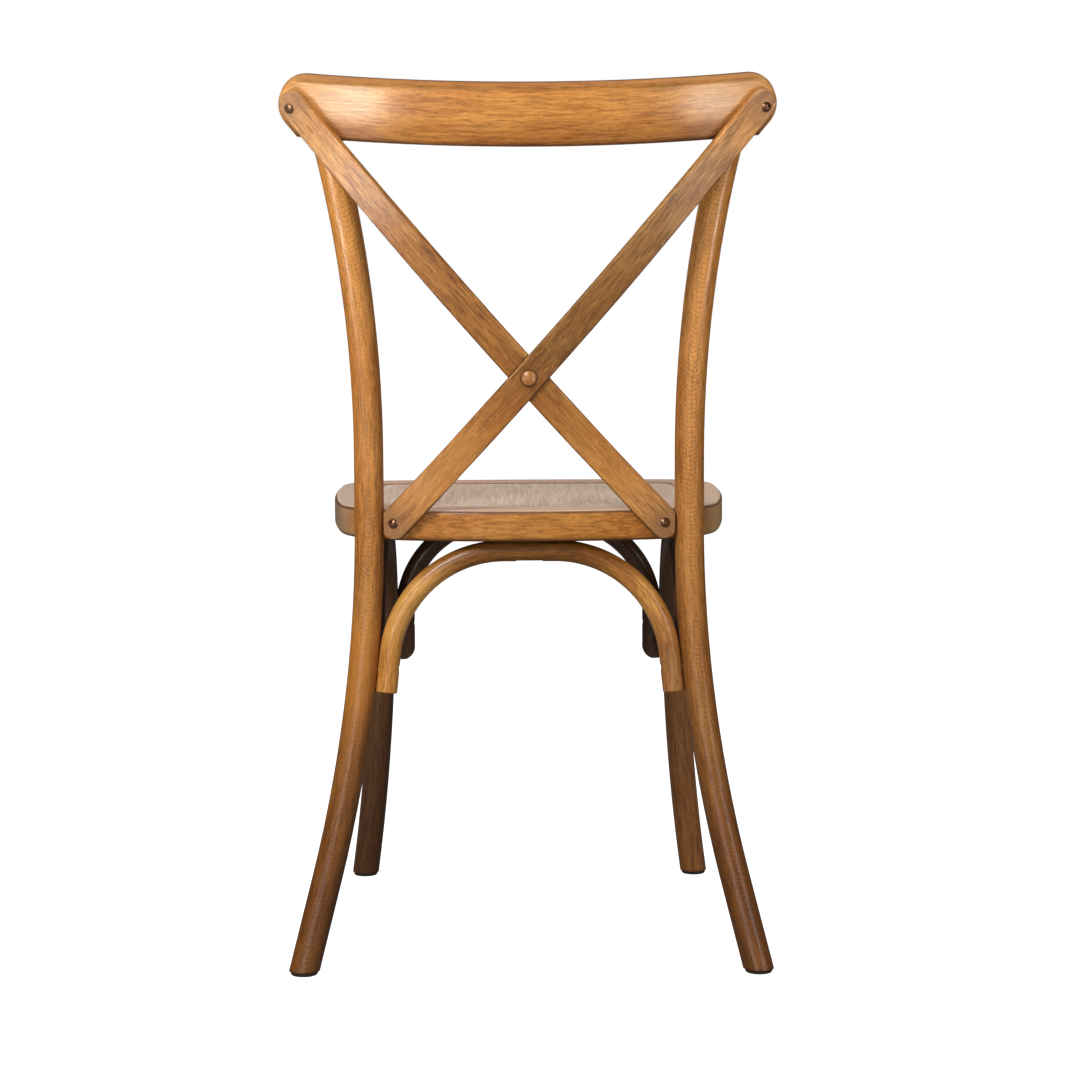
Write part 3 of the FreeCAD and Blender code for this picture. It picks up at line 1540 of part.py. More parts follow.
def post_fasteners():
    """Bolt, washer and threaded insert of each back post."""
    bolts, washers, inserts = [], [], []
    shank = size("post_bolt_radius") - PLAY
    head = size("post_bolt_head")
    head_height = size("post_bolt_head_height")
    washer = size("post_bolt_washer")
    pocket_depth = size("post_bolt_pocket")
    insert_length = size("insert_length")
    insert_sink = LEG - math.sqrt(LEG**2 - size("insert_radius") ** 2)
    for side in SIDES.values():
        outward, contact, inner = post_bolt_line(side)
        contact += outward * insert_sink
        seat = inner + outward * pocket_depth
        reach = (contact - seat).dot(outward) + insert_length - 2 * insert_sink
        bore = size("post_bolt_radius")
        ring = [(bore, 0), (washer, 0), (washer, WASHER), (bore, WASHER)]
        washers.append(turned(ring, seat - outward * WASHER, outward))
        socket = head / 2
        profile = [
            (0, -head_height / 2),
            (socket, -head_height / 2),
            (socket, -head_height),
            (head, -head_height),
            (head, 0),
            (shank, 0),
            (shank, reach + WASHER),
            (0, reach + WASHER),
        ]
        bolts.append(turned(profile, seat - outward * WASHER, outward))
        outer = size("insert_radius") - PLAY
        tube = [(bore, 0), (outer, 0), (outer, insert_length), (bore, insert_length)]
        inserts.append(turned(tube, contact, outward))
    keep(group("post_bolts", bolts))
    keep(group("post_bolt_washers", washers))
    keep(group("post_inserts", inserts))


def crossing_fasteners():
    """Bolt, button and domed nut where the straps cross."""
    rear = CROSS_REAR
    half = size("strap_thickness") / 2 + CROSS_DEPTH / 2
    outer_face = CROSSING + rear * half
    inner_face = CROSSING - rear * half
    radius = size("button_bolt_radius") - PLAY
    tail = 1.0
    bolt_depth = (outer_face - inner_face).dot(rear)
    dome = size("button_dome")
    stud = [
        (0, -tail),
        (radius, -tail),
        (radius, bolt_depth + dome / 2),
        (0, bolt_depth + dome / 2),
    ]
    keep(group("crossing_bolt", [turned(stud, inner_face, rear)]))
    edge = size("button_edge")
    cap = domed(size("button_radius"), dome, Vector(0, 0, edge), UP)
    cap = cap.fuse(Part.makeCylinder(size("button_radius"), edge)).removeSplitter()
    button = cap.cut(Part.makeCylinder(radius + PLAY, dome / 2 + GAP))
    button.Placement = FreeCAD.Placement(outer_face + rear * (PLAY / 2), rotation_to(rear))
    keep(group("crossing_button", [button]))
    nut = domed(size("button_nut_radius"), dome, Vector(0, 0, 0), UP)
    nut = nut.cut(Part.makeCylinder(radius + PLAY, tail + PLAY))
    nut.Placement = FreeCAD.Placement(inner_face - rear * GAP, rotation_to(rear * -1))
    keep(group("crossing_nut", [nut]))


def glides():
    """A glide under each foot, with its nail."""
    nails = []
    radius = size("glide_radius")
    thickness = size("glide_thickness")
    head = size("nail_head_radius")
    head_height = size("nail_head_height")
    shank = size("nail_radius") - PLAY / 2
    length = size("nail_length")
    feet = (("rear", back_leg_point), ("front", front_leg_point))
    for row_name, point_of in feet:
        for side_name, side in SIDES.items():
            foot = point_of(side, thickness)
            base = Vector(foot.x, foot.y, 0)
            ease = thickness / 4
            disc = turned(
                [
                    (size("nail_radius"), head_height),
                    (head + PLAY, head_height),
                    (head + PLAY, 0),
                    (radius - ease, 0),
                    (radius, ease),
                    (radius, thickness),
                    (size("nail_radius"), thickness),
                ],
                base,
                UP,
            )
            keep(group(f"foot_glide_{row_name}_{side_name}", [disc]))
            nail = [
                (0, GAP),
                (head, GAP),
                (head, head_height),
                (shank, head_height),
                (shank, length),
                (0, length + shank),
            ]
            nails.append(turned(nail, base, UP))
    keep(group("glide_nails", nails))


# Build

for side_name, side in SIDES.items():
    back_leg(side_name, side)
    front_leg(side_name, side)
crest_rail()
strap_body("cross_strap_outer", STRAP_OUTER, STRAP_INNER)
strap_body("cross_strap_inner", STRAP_INNER, STRAP_OUTER)
leg_screws += rear_hoop()
leg_screws += front_hoop()
hoop_centres = [Vector(0, POST_Y, 0), Vector(0, front_hoop_point(SCREW_Z).y, 0)]
for side_name, side in SIDES.items():
    screws, centre = side_hoop(side_name, side)
    leg_screws += screws
    hoop_centres.append(centre)
seat_pieces(seat_frame())
seat_panel()
fasteners()
crossing_fasteners()
glides()

doc.recompute()

for feature in doc.Objects:
    for state in ("Invalid", "Error"):
        if state in feature.State:
            raise RuntimeError(f"{feature.Label}: {feature.State}")
for feature in nodes:
    if feature.Shape.isNull() or not feature.Shape.isValid():
        raise RuntimeError(f"{feature.Label}: bad shape")
    if not feature.Shape.Solids:
        raise RuntimeError(f"{feature.Label}: no solid")

os.makedirs("parts", exist_ok=True)
for feature in nodes:
    feature.Shape.exportStep(f"parts/{feature.Label}.step")
print(len(nodes), "pieces")
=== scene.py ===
import math
from collections import namedtuple

import bpy
from mathutils import Matrix, Vector

# Cross back dining chair: honey brown bent wood, seen from behind in a bright studio.
# All lengths are in metres, in the chair's own frame: Z up, the back towards +Y, the left side
# at +X. The left side is also on the left of the picture, because the camera stands behind.

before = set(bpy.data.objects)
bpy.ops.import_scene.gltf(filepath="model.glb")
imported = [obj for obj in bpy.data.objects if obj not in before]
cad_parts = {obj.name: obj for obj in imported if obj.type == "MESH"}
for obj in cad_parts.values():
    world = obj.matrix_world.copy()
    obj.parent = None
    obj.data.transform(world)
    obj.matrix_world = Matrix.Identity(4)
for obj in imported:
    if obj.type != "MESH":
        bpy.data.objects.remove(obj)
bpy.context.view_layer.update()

# Sizes of the chair that the grain and the stains follow

POST_X = 0.1625
POST_Y = 0.14
BACK_BEND = math.radians(54)
LOW_BEND_TOP = 0.448
LOW_BEND_RADIUS = 0.917
LOW_BEND_REACH = 0.358
FOOT_SLOPE = 0.424
HIGH_BEND_START = 0.511
HIGH_BEND_RADIUS = 0.868

FRONT_LEG_X = 0.168
FRONT_LEG_Y = POST_Y - 0.347
FRONT_BEND = math.radians(22)
FRONT_BEND_TOP = 0.330
FRONT_BEND_RADIUS = 2.180

RAIL_LEAN = math.radians(16.5)
RAIL_RADIUS = 0.593
RAIL_WIDTH = 0.060
RAIL_THICKNESS = 0.025
RAIL_ORIGIN_Y = 0.2222
RAIL_ORIGIN_Z = 0.8198

STRAP_FOOT_X = 0.1361
STRAP_FOOT_Y = 0.1541
STRAP_FOOT_Z = 0.4442
STRAP_TOP_X = 0.2284
STRAP_TOP_Y = 0.2049
STRAP_TOP_Z = 0.8605
STRAP_BOW = 0.025
STRAP_HALF_WIDTH = 0.015
STRAP_RUN = Vector((STRAP_TOP_X + STRAP_FOOT_X, STRAP_TOP_Z - STRAP_FOOT_Z))

CROSSING_X = 0.0
CROSSING_Z = 0.5925
CROSSING_ALONG = 0.2016
BUTTON_RADIUS = 0.008

SEAT_TOP = 0.458
SEAT_BOTTOM = 0.426

HOOP_TOP = 0.4148
REAR_HOOP_Y = 0.147
REAR_HOOP_BEND = 0.117
REAR_HOOP_HALF_FLAT = 0.0258
REAR_HOOP_SLOPE = 0.1
FRONT_HOOP_BEND = 0.105
FRONT_HOOP_HALF_FLAT = 0.0368
SIDE_HOOP_X = 0.1595
SIDE_HOOP_Y = -0.0288
SIDE_HOOP_BEND = 0.117
SIDE_HOOP_HALF_FLAT = 0.037


# Materials


Place = namedtuple("Place", "x y z")
Grain = namedtuple("Grain", "across through along")


def plug(tree, item, port):
    """Feeds a number, a colour or another node's output into a socket."""
    if isinstance(item, Value):
        tree.links.new(item.socket, port)
    else:
        port.default_value = item


class Value:
    """An output inside a material, which Python's operators combine with others."""

    def __init__(self, tree, socket):
        self.tree = tree
        self.socket = socket

    def math(self, operation, *items):
        node = self.tree.nodes.new("ShaderNodeMath")
        node.operation = operation
        for item, port in zip(items, node.inputs):
            plug(self.tree, item, port)
        return Value(self.tree, node.outputs[0])

    def __add__(self, other):
        return self.math("ADD", self, other)

    def __radd__(self, other):
        return self.math("ADD", other, self)

    def __sub__(self, other):
        return self.math("SUBTRACT", self, other)

    def __rsub__(self, other):
        return self.math("SUBTRACT", other, self)

    def __mul__(self, other):
        return self.math("MULTIPLY", self, other)

    def __truediv__(self, other):
        return self.math("DIVIDE", self, other)

    def __pow__(self, other):
        return self.math("POWER", self, other)

    def __abs__(self):
        return self.math("ABSOLUTE", self)

    def sqrt(self):
        return self.math("SQRT", self)

    def fraction(self):
        return self.math("FRACT", self)

    def sign(self):
        return self.math("SIGN", self)

    def least(self, other):
        return self.math("MINIMUM", self, other)

    def most(self, other):
        return self.math("MAXIMUM", self, other)

    def turn_from(self, other):
        """The angle of a point whose sine side is this value and whose cosine side is the other."""
        return self.math("ARCTAN2", self, other)

    def rise(self, low, high):
        """Rises smoothly from 0 at low to 1 at high."""
        node = self.tree.nodes.new("ShaderNodeMapRange")
        node.interpolation_type = "SMOOTHSTEP"
        plug(self.tree, self, node.inputs["Value"])
        node.inputs["From Min"].default_value = low
        node.inputs["From Max"].default_value = high
        return Value(self.tree, node.outputs["Result"])

    def fall(self, low, high):
        """Falls smoothly from 1 at low to 0 at high."""
        return 1.0 - self.rise(low, high)

    def band(self, rise_from, rise_to, fall_from, fall_to):
        """1 inside a band and 0 outside it, with soft sides."""
        return self.rise(rise_from, rise_to) * self.fall(fall_from, fall_to)


class Finish:
    """A material under construction."""

    def __init__(self, name):
        self.material = bpy.data.materials.new(name)
        self.material.use_nodes = True
        self.tree = self.material.node_tree
        self.surface = self.tree.nodes["Principled BSDF"]

    def add(self, kind, inputs, settings=None, output=0):
        """Adds a node: its settings first, then its sockets, by name or number."""
        node = self.tree.nodes.new(kind)
        for key, value in (settings or {}).items():
            setattr(node, key, value)
        for key, item in inputs.items():
            plug(self.tree, item, node.inputs[key])
        return Value(self.tree, node.outputs[output])

    def position(self):
        """The point's place in the chair's frame."""
        point = self.add("ShaderNodeTexCoord", {}, output="Object")
        return Place(*(self.add("ShaderNodeSeparateXYZ", {0: point}, output=axis) for axis in range(3)))

    def noise(self, point, scales, detail=2.0, roughness=0.5, shift=0.0):
        """Smooth noise from 0 to 1, with its own scale along each of the point's axes."""
        scaled = [axis * scale + shift for axis, scale in zip(point, scales)]
        vector = self.add("ShaderNodeCombineXYZ", dict(enumerate(scaled)))
        values = {"Vector": vector, "Scale": 1.0, "Detail": detail, "Roughness": roughness}
        return self.add("ShaderNodeTexNoise", values)

    def mix(self, share, first, second, blend_type="MIX"):
        """Two colours mixed: the second by a share, in place of the first or multiplied with it."""
        values = {0: share, 6: first, 7: second}
        settings = {"data_type": "RGBA", "blend_type": blend_type, "clamp_factor": True}
        return self.add("ShaderNodeMix", values, settings, output=2)

    def bump(self, height, distance, strength):
        values = {"Height": height, "Distance": distance, "Strength": strength}
        return self.add("ShaderNodeBump", values)

    def set(self, **sockets):
        """Fills sockets of the surface: underscores stand for spaces."""
        for key, item in sockets.items():
            plug(self.tree, item, self.surface.inputs[key.replace("_", " ")])
        return self.material


def rgb(red, green, blue):
    """A colour as it looks on a screen, from 0 to 255, in linear light."""
    channels = []
    for channel in (red, green, blue):
        share = channel / 255
        channels.append(share / 12.92 if share <= 0.04045 else ((share + 0.055) / 1.055) ** 2.4)
    return (*channels, 1.0)


def paler(colour, factor, lift):
    """A worn or dusty tone of a colour."""
    return tuple(min(1.0, channel * factor + lift) for channel in colour[:3]) + (1.0,)


# Colours of the wood: its late rings and marks, its ground, and its palest streaks


def wood_tones(dark, middle, light):
    return {"dark": rgb(*dark), "middle": rgb(*middle), "light": rgb(*light)}


HONEY = wood_tones((112, 60, 20), (186, 116, 44), (222, 158, 76))
# Painted shade: the next two are darkened copies of the honey wood, for the front legs and the front
# and side hoops under the seat
HALF_SHADED_HONEY = wood_tones((84, 48, 22), (154, 98, 48), (180, 120, 66))
SHADE_HONEY = wood_tones((48, 26, 10), (88, 54, 26), (108, 70, 36))
POST_TONES = wood_tones((88, 44, 12), (188, 114, 44), (234, 164, 84))
STRAP_TONES = wood_tones((108, 59, 22), (178, 112, 48), (230, 170, 94))
# Painted light: a lighter copy of the honey wood for the rear hoop, where the lamps catch it
LIT_HOOP_TONES = wood_tones((120, 68, 26), (202, 134, 58), (236, 178, 96))
SEAT_TONES = wood_tones((154, 130, 114), (190, 167, 150), (216, 196, 180))
PALE_WOOD = wood_tones((176, 138, 92), (214, 180, 132), (230, 202, 158))
PORE = rgb(72, 38, 14)
# Pale tone of real scratches, also used for the painted highlight on the strap crossing
SCRATCH_AND_HIGHLIGHT = rgb(240, 190, 118)
DEEP = rgb(70, 40, 20)
TAUPE = rgb(184, 166, 152)

# Marks of the wood: how many there are per metre across, through and along the grain

DRIFTS = (14, 14, 5)
RIPPLES = (150, 150, 45)
RING_CHANGES = (22, 22, 8)
CLOUDS = (26, 26, 9)
BLOTCHES = (110, 110, 24)
STREAKS = (400, 400, 28)
FIBRES = (560, 560, 100)
PORES = (950, 950, 95)
CREASES = (110, 110, 26)
CREASED_PATCHES = (26, 26, 12)

DRIFT_YEARS = 5.0
WOOD_RELIEF = 0.00035


def wood(name, grain_of, tones=HONEY, seed=0.0, pith=(0.012, 0.075), pitch=0.0032, taper=0.02,
         pale_rings=0.0, dark_rings=0.3, mottle=0.45, waver=0.9, clouds=1.0, fine=1.0, pored=0.5,
         scratches=0.0, stains=(), shades=(), smooth=0.42, coat=0.2, dull=None):
    """Stained, satin lacquered wood.

    grain_of turns a point into across, through and along the grain. pith is where the trunk's
    middle lies across and through, pitch the width of a year's ring, and taper how fast the rings
    run out along the grain, which draws the pointed arches of a flat sawn board. Stains lie over
    the wood's colour, shades darken it, and dull tells where the lacquer has lost its shine."""
    finish = Finish(name)
    place = finish.position()
    grain = Grain(*grain_of(*place))

    # year rings
    drift = finish.noise(grain, DRIFTS, shift=seed) - 0.5
    ripple = finish.noise(grain, RIPPLES, shift=seed + 4) - 0.5
    from_pith = grain.across - pith[0]
    to_pith = grain.through - pith[1]
    reach = (from_pith * from_pith + to_pith * to_pith).sqrt()
    years = (reach + grain.along * taper) / pitch + drift * DRIFT_YEARS + ripple * waver
    year = years.fraction()
    late_wood = year ** 2.0 * year.fall(0.88, 1.0)
    pale_line = year.band(0.3, 0.6, 0.65, 0.95)
    strength = finish.noise(grain, RING_CHANGES, shift=seed + 9).rise(0.3, 0.7)

    # clouds, blotches, streaks, fibres and pores
    cloud = finish.noise(grain, CLOUDS, shift=seed + 3)
    blotch = finish.noise(grain, BLOTCHES, detail=4, roughness=0.65, shift=seed + 6)
    streaks = [scale * fine for scale in STREAKS]
    streak = finish.noise(grain, streaks, detail=4, roughness=0.65, shift=seed + 2)
    fibres = [scale * fine for scale in FIBRES]
    fibre = finish.noise(grain, fibres, detail=3, roughness=0.7, shift=seed + 1)
    pores = finish.noise(grain, PORES, detail=1, shift=seed + 5).rise(0.62, 0.74)

    layers = [
        (cloud.rise(0.34, 0.72) * (0.6 * clouds), tones["light"]),
        (blotch.rise(0.45, 0.75) * mottle, tones["dark"]),
        (streak.rise(0.48, 0.66) * 0.5, tones["dark"]),
        (streak.fall(0.34, 0.48) * 0.55, tones["light"]),
        (late_wood * (strength * 0.7 + 0.3) * dark_rings, tones["dark"]),
        (pale_line * (strength * 0.8 + 0.2) * pale_rings, tones["light"]),
        (fibre.rise(0.5, 0.74) * 0.5, tones["dark"]),
        (fibre.fall(0.28, 0.46) * 0.4, tones["light"]),
        (pores * pored, PORE),
    ]
    if scratches:
        crease = finish.noise(grain, CREASES, detail=3, roughness=0.55, shift=seed + 7)
        patch = finish.noise(grain, CREASED_PATCHES, shift=seed + 8).rise(0.4, 0.6)
        line = abs(crease - 0.5).fall(0.002, 0.011)
        layers.append((line * patch * scratches, SCRATCH_AND_HIGHLIGHT))
    layers += [stain(place, grain) for stain in stains]

    colour = tones["middle"]
    for share, tone in layers:
        colour = finish.mix(share, colour, tone)
    for shade in shades:
        share, tone = shade(place, grain)
        colour = finish.mix(share, colour, tone, "MULTIPLY")

    rough = smooth + streak * 0.12 + pores * 0.15
    gloss = 1.0
    if dull:
        gloss = 1.0 - dull(place, grain)
        rough = rough + (1.0 - gloss) * 0.35
    height = fibre * 0.4 + late_wood * 0.25 * strength - pores * 0.7
    return finish.set(
        Base_Color=colour,
        Roughness=rough,
        Normal=finish.bump(height, WOOD_RELIEF, 0.5),
        Coat_Weight=gloss * coat,
        Coat_Roughness=0.2,
        Specular_IOR_Level=0.3,
    )


# The grain's directions: each gives across, through and along for a point of the chair


def back_leg_grain(side):
    """Round the bent centre line of a back leg, turned so that the flat sawn face looks back."""

    def grain(x, y, z):
        out = x * side - POST_X
        back = y - POST_Y
        bend = out * math.cos(BACK_BEND) + back * math.sin(BACK_BEND)
        flank = back * math.cos(BACK_BEND) - out * math.sin(BACK_BEND)
        drop = (LOW_BEND_TOP - z).most(0.0).least(LOW_BEND_REACH)
        low = LOW_BEND_RADIUS - (LOW_BEND_RADIUS**2 - drop * drop).sqrt()
        foot = (LOW_BEND_TOP - LOW_BEND_REACH - z).most(0.0) * FOOT_SLOPE
        rise = (z - HIGH_BEND_START).most(0.0)
        high = HIGH_BEND_RADIUS - (HIGH_BEND_RADIUS**2 - rise * rise).sqrt()
        bent = bend - low - foot - high
        across = bent * math.cos(BACK_BEND) - flank * math.sin(BACK_BEND)
        through = bent * math.sin(BACK_BEND) + flank * math.cos(BACK_BEND)
        return across, through, z

    return grain


def front_leg_grain(side):
    """Round the bent centre line of a front leg."""

    def grain(x, y, z):
        drop = (FRONT_BEND_TOP - z).most(0.0)
        bent = drop * drop / (2 * FRONT_BEND_RADIUS)
        across = x * side - FRONT_LEG_X - bent * math.cos(FRONT_BEND)
        through = y - FRONT_LEG_Y + bent * math.sin(FRONT_BEND)
        return across, through, z

    return grain


def rail_grain(x, y, z):
    """Along the bent plank of the crest rail."""
    back = y - RAIL_ORIGIN_Y
    up = z - RAIL_ORIGIN_Z
    width = back * math.sin(RAIL_LEAN) + up * math.cos(RAIL_LEAN)
    depth = back * math.cos(RAIL_LEAN) - up * math.sin(RAIL_LEAN) + RAIL_RADIUS
    through = (x * x + depth * depth).sqrt() - RAIL_RADIUS
    return width, through, x


def strap_grain(side):
    """Along a strap that rises towards one side and bows back and down, like a parabola."""
    unit = STRAP_RUN.normalized()
    bow_back = 4.0 * STRAP_BOW * math.cos(RAIL_LEAN)
    bow_down = 4.0 * STRAP_BOW * math.sin(RAIL_LEAN)

    def grain(x, y, z):
        level = x * side + STRAP_FOOT_X
        up = z - STRAP_FOOT_Z
        along = level * unit.x + up * unit.y
        share = along / STRAP_RUN.length
        bow = share * (1.0 - share)
        across = (up + bow * bow_down) * unit.x - level * unit.y
        chord = share * (STRAP_TOP_Y - STRAP_FOOT_Y) + STRAP_FOOT_Y
        through = y - chord - bow * bow_back
        return across, through, along

    return grain


def seat_side_grain(x, y, z):
    """From front to back, in the sides of the seat frame."""
    return x, z, y


def seat_end_grain(x, y, z):
    """From side to side, in the front and the rear of the seat frame."""
    return z, y, x


def panel_grain(x, y, z):
    """From front to back, in long streaks."""
    return x, z, y * 0.35


def hoop_grain(bend_radius, half_flat, centre_x, centre_y, turned, slope=0.0):
    """Round a hoop: two legs, two bends and a flat top. A turned hoop runs from front to back."""

    def grain(x, y, z):
        level, flank = (y - centre_y, x - centre_x) if turned else (x, y - centre_y)
        bend_z = HOOP_TOP - bend_radius
        below = (bend_z - z).most(0.0)
        side = abs(level) - half_flat - below * slope
        out = side.most(0.0)
        up = (z - bend_z).most(0.0)
        across = (out * out + up * up).sqrt() - bend_radius
        along = abs(level).least(half_flat) + out.turn_from(up) * bend_radius + below
        return across, flank, along * level.sign()

    return grain


# Stains and shades: each gives the share and the colour of a deeper or paler place; many are painted
# shade, shadow, highlight and reflection


def rail_edge_painted_shade(place, grain):
    """Painted shade: a dark line along the rail's upper front arris."""
    front = -RAIL_THICKNESS / 2
    arris = grain.across.rise(RAIL_WIDTH - 0.004, RAIL_WIDTH - 0.002)
    return arris * grain.through.fall(front + 0.008, front + 0.013) * 0.85, DEEP


def rail_top_painted_shade(place, grain):
    """Painted shade on the rail's top face, a little deeper in tone."""
    return grain.across.rise(RAIL_WIDTH - 0.006, RAIL_WIDTH - 0.001), rgb(190, 184, 176)


def rail_low_edge_painted_shade(place, grain):
    """Painted shade along the rail's lower edge."""
    return grain.across.fall(0.0, 0.008) * 0.8, rgb(88, 50, 24)


def rail_low_painted_shade(place, grain):
    """Painted shade on the rail's lower part, with painted shadow of the straps in the corners beside
    them.
    """
    low = grain.across.fall(0.004, 0.036)
    corners = abs(grain.along).rise(0.1, 0.19)
    return low * (corners * 0.4 + 0.6), rgb(172, 150, 126)


def rail_ends_painted_highlight(place, grain):
    """Painted highlight: paler wood towards both ends of the rail."""
    return abs(grain.along).rise(0.1, 0.24) * 0.4, rgb(222, 170, 104)


def strap_edge_painted_shade(place, grain):
    """Painted shade: dark arrises along a strap."""
    return abs(grain.across).rise(STRAP_HALF_WIDTH - 0.0016, STRAP_HALF_WIDTH) * 0.45, DEEP


def strap_middle(place, grain):
    """The deeper tone of a strap's middle."""
    return abs(grain.along - 0.26).fall(0.06, 0.24), rgb(214, 206, 192)


def strap_low_part(place, grain):
    """A strap's paler lower part, above its foot."""
    return place.z.band(0.45, 0.485, 0.53, 0.59) * 0.28, rgb(244, 168, 88)


def strap_ends(place, grain):
    """Greyer wood round the screws at a strap's ends."""
    top = grain.along.rise(STRAP_RUN.length - 0.03, STRAP_RUN.length + 0.004)
    foot = grain.along.fall(-0.006, 0.03)
    return top.most(foot) * 0.55, rgb(140, 104, 74)


def outer_strap_top(place, grain):
    """The outer strap's deeper tone between the crossing and the rail."""
    return place.z.band(0.56, 0.62, 0.78, 0.84), rgb(226, 232, 243)


def crossing_edge_painted_highlight(place, grain):
    """Painted highlight on the outer strap's upper edge, where it laps over the inner one."""
    edge = grain.across.rise(STRAP_HALF_WIDTH - 0.0026, STRAP_HALF_WIDTH - 0.0014)
    lap = abs(grain.along - CROSSING_ALONG).fall(0.012, 0.02)
    return edge * lap * 0.7, SCRATCH_AND_HIGHLIGHT


def button_painted_shadow(place, grain):
    """Painted shadow: a dark ring round the button."""
    return from_crossing(place).fall(BUTTON_RADIUS, BUTTON_RADIUS + 0.0018) * 0.7, DEEP


def from_crossing(place):
    """The distance from the middle of the crossing."""
    x = place.x - CROSSING_X
    z = place.z - CROSSING_Z
    return (x * x + z * z).sqrt()


def seat_edge_painted_shade(place, grain):
    """Painted shade: dark lines along the seat frame's upper and lower arrises."""
    upper = place.z.band(SEAT_TOP - 0.0045, SEAT_TOP - 0.0022, SEAT_TOP - 0.0012, SEAT_TOP - 0.0004)
    lower = place.z.fall(SEAT_BOTTOM, SEAT_BOTTOM + 0.004)
    return upper.most(lower) * 0.85, DEEP


def seat_top_painted_sheen(place, grain):
    """Painted reflection: the frame's top greyed almost to the panel's tone, as a grazing sheen."""
    return place.z.rise(SEAT_TOP - 0.0012, SEAT_TOP - 0.0003) * 0.72, TAUPE


def seat_flanks_painted_reflection(place, grain):
    """Painted reflection: greyer ends of the frame, beside the posts."""
    return abs(place.x).rise(0.17, 0.2) * 0.75, rgb(176, 152, 128)


def seat_right_end_painted_light(place, grain):
    """Painted light: the paler right end of the frame."""
    return place.x.fall(-0.2, -0.18) * 0.7, rgb(233, 183, 125)


def back_leg_painted_highlight(place, grain):
    """Painted highlight down the middle of a back leg's rear face."""
    return abs(grain.across).fall(0.001, 0.01) * place.z.rise(0.1, 0.3) * 0.15, rgb(240, 180, 108)


def back_leg_inner_painted_shade(place, grain):
    """Painted shade on a back leg's flank on the side of the straps."""
    return grain.across.fall(-0.014, -0.004), rgb(222, 222, 232)


def left_leg_bend_painted_light(place, grain):
    """Painted light: the paler bend of the left back leg, below the seat."""
    bend = place.z.band(0.2, 0.28, 0.32, 0.37)
    return bend * place.x.rise(0.0, 0.01) * 0.35, rgb(253, 165, 62)


def back_leg_low_painted_shade(place, grain):
    """Painted shade: darker wood towards the floor."""
    return place.z.fall(0.05, 0.5), rgb(154, 140, 108)


def front_leg_top(place, grain):
    """The tops of the front legs, kept dark by the seat."""
    return place.z.rise(0.3, 0.42), rgb(84, 60, 48)


def foot_rim(place, grain):
    """The dark rim of a leg's foot."""
    return place.z.fall(0.003, 0.007) * 0.8, DEEP


def hoop_top(place, grain):
    """The top of a hoop, kept dark by the seat."""
    return place.z.rise(0.38, 0.412), rgb(176, 160, 128)


def hoop_left_bend_painted_highlight(place, grain):
    """Painted highlight on the rear hoop's left bend."""
    bend = place.z.band(0.3, 0.35, 0.385, 0.4)
    return bend * place.x.rise(0.06, 0.1) * 0.26, rgb(255, 200, 110)


def hoop_right_leg_painted_shade(place, grain):
    """Painted shade: the browner leg of the rear hoop, on the right."""
    return place.z.fall(0.31, 0.37) * place.x.fall(-0.135, -0.09), rgb(212, 203, 222)


def rail_dull_parts(place, grain):
    """Where the rail's lacquer shines least: on its top face and low on its rear face."""
    top = grain.across.rise(RAIL_WIDTH - 0.005, RAIL_WIDTH - 0.002)
    return top.most(grain.across.fall(0.012, 0.04) * 0.9)


# Finishes other than plain wood


def metal(name, colour, roughness, worn):
    """Metal with fine scratches and a little grime."""
    finish = Finish(name)
    point = finish.position()
    scratch = finish.noise(point, (900, 900, 900), detail=4)
    grime = finish.noise(point, (220, 220, 220), detail=3, shift=3.0)
    return finish.set(
        Base_Color=finish.mix(scratch.rise(0.5, 0.75) * worn, colour, paler(colour, 1.6, 0.03)),
        Metallic=1.0,
        Roughness=roughness + grime * 0.25,
        Normal=finish.bump(scratch, 0.0001, 0.4),
    )


def plastic(name, colour, roughness):
    """Plastic with a fine grain and a little dust."""
    finish = Finish(name)
    point = finish.position()
    grain = finish.noise(point, (1500, 1500, 1500))
    dust = finish.noise(point, (120, 120, 40), detail=3, shift=2.0)
    return finish.set(
        Base_Color=finish.mix(dust.rise(0.5, 0.8) * 0.5, colour, paler(colour, 2.2, 0.02)),
        Roughness=roughness + grain * 0.15,
        Normal=finish.bump(grain, 0.0001, 0.5),
    )


def turned_wood(name):
    """A turned wooden button with a faint ring cut by the lathe, and painted shade round its rim."""
    finish = Finish(name)
    place = finish.position()
    centred = Place(place.x - CROSSING_X, place.y, place.z - CROSSING_Z)
    radius = from_crossing(place)
    ring = radius.band(0.0036, 0.0041, 0.0043, 0.005)
    # Painted shade: the button darkens towards its rim
    rim = radius.rise(BUTTON_RADIUS - 0.0011, BUTTON_RADIUS)
    fibre = finish.noise(centred, (700, 700, 60), detail=3)
    tone = finish.mix(fibre.rise(0.35, 0.75), rgb(186, 122, 60), rgb(150, 90, 40))
    tone = finish.mix(ring * 0.3, tone, rgb(128, 74, 36))
    tone = finish.mix(rim * 0.8, tone, DEEP)
    return finish.set(
        Base_Color=tone,
        Roughness=0.34 + fibre * 0.12,
        Normal=finish.bump(fibre * 0.3 - ring * 0.5, 0.0003, 0.6),
        Coat_Weight=0.4,
        Coat_Roughness=0.15,
    )


# The wood of each kind of piece


def back_leg_wood(side_name, side, seed, pith):
    return wood(
        f"back leg wood {side_name}", back_leg_grain(side), POST_TONES, seed=seed, pith=pith,
        pitch=0.0016, taper=0.34, pale_rings=0.5, dark_rings=1.0, mottle=0.5, waver=1.6, fine=1.3,
        stains=(left_leg_bend_painted_light, back_leg_painted_highlight, foot_rim),
        shades=(back_leg_low_painted_shade, back_leg_inner_painted_shade),
    )


def front_leg_wood(side_name, side, seed, tones):
    return wood(
        f"front leg wood {side_name}", front_leg_grain(side), tones, seed=seed,
        stains=(foot_rim,), shades=(front_leg_top,),
    )


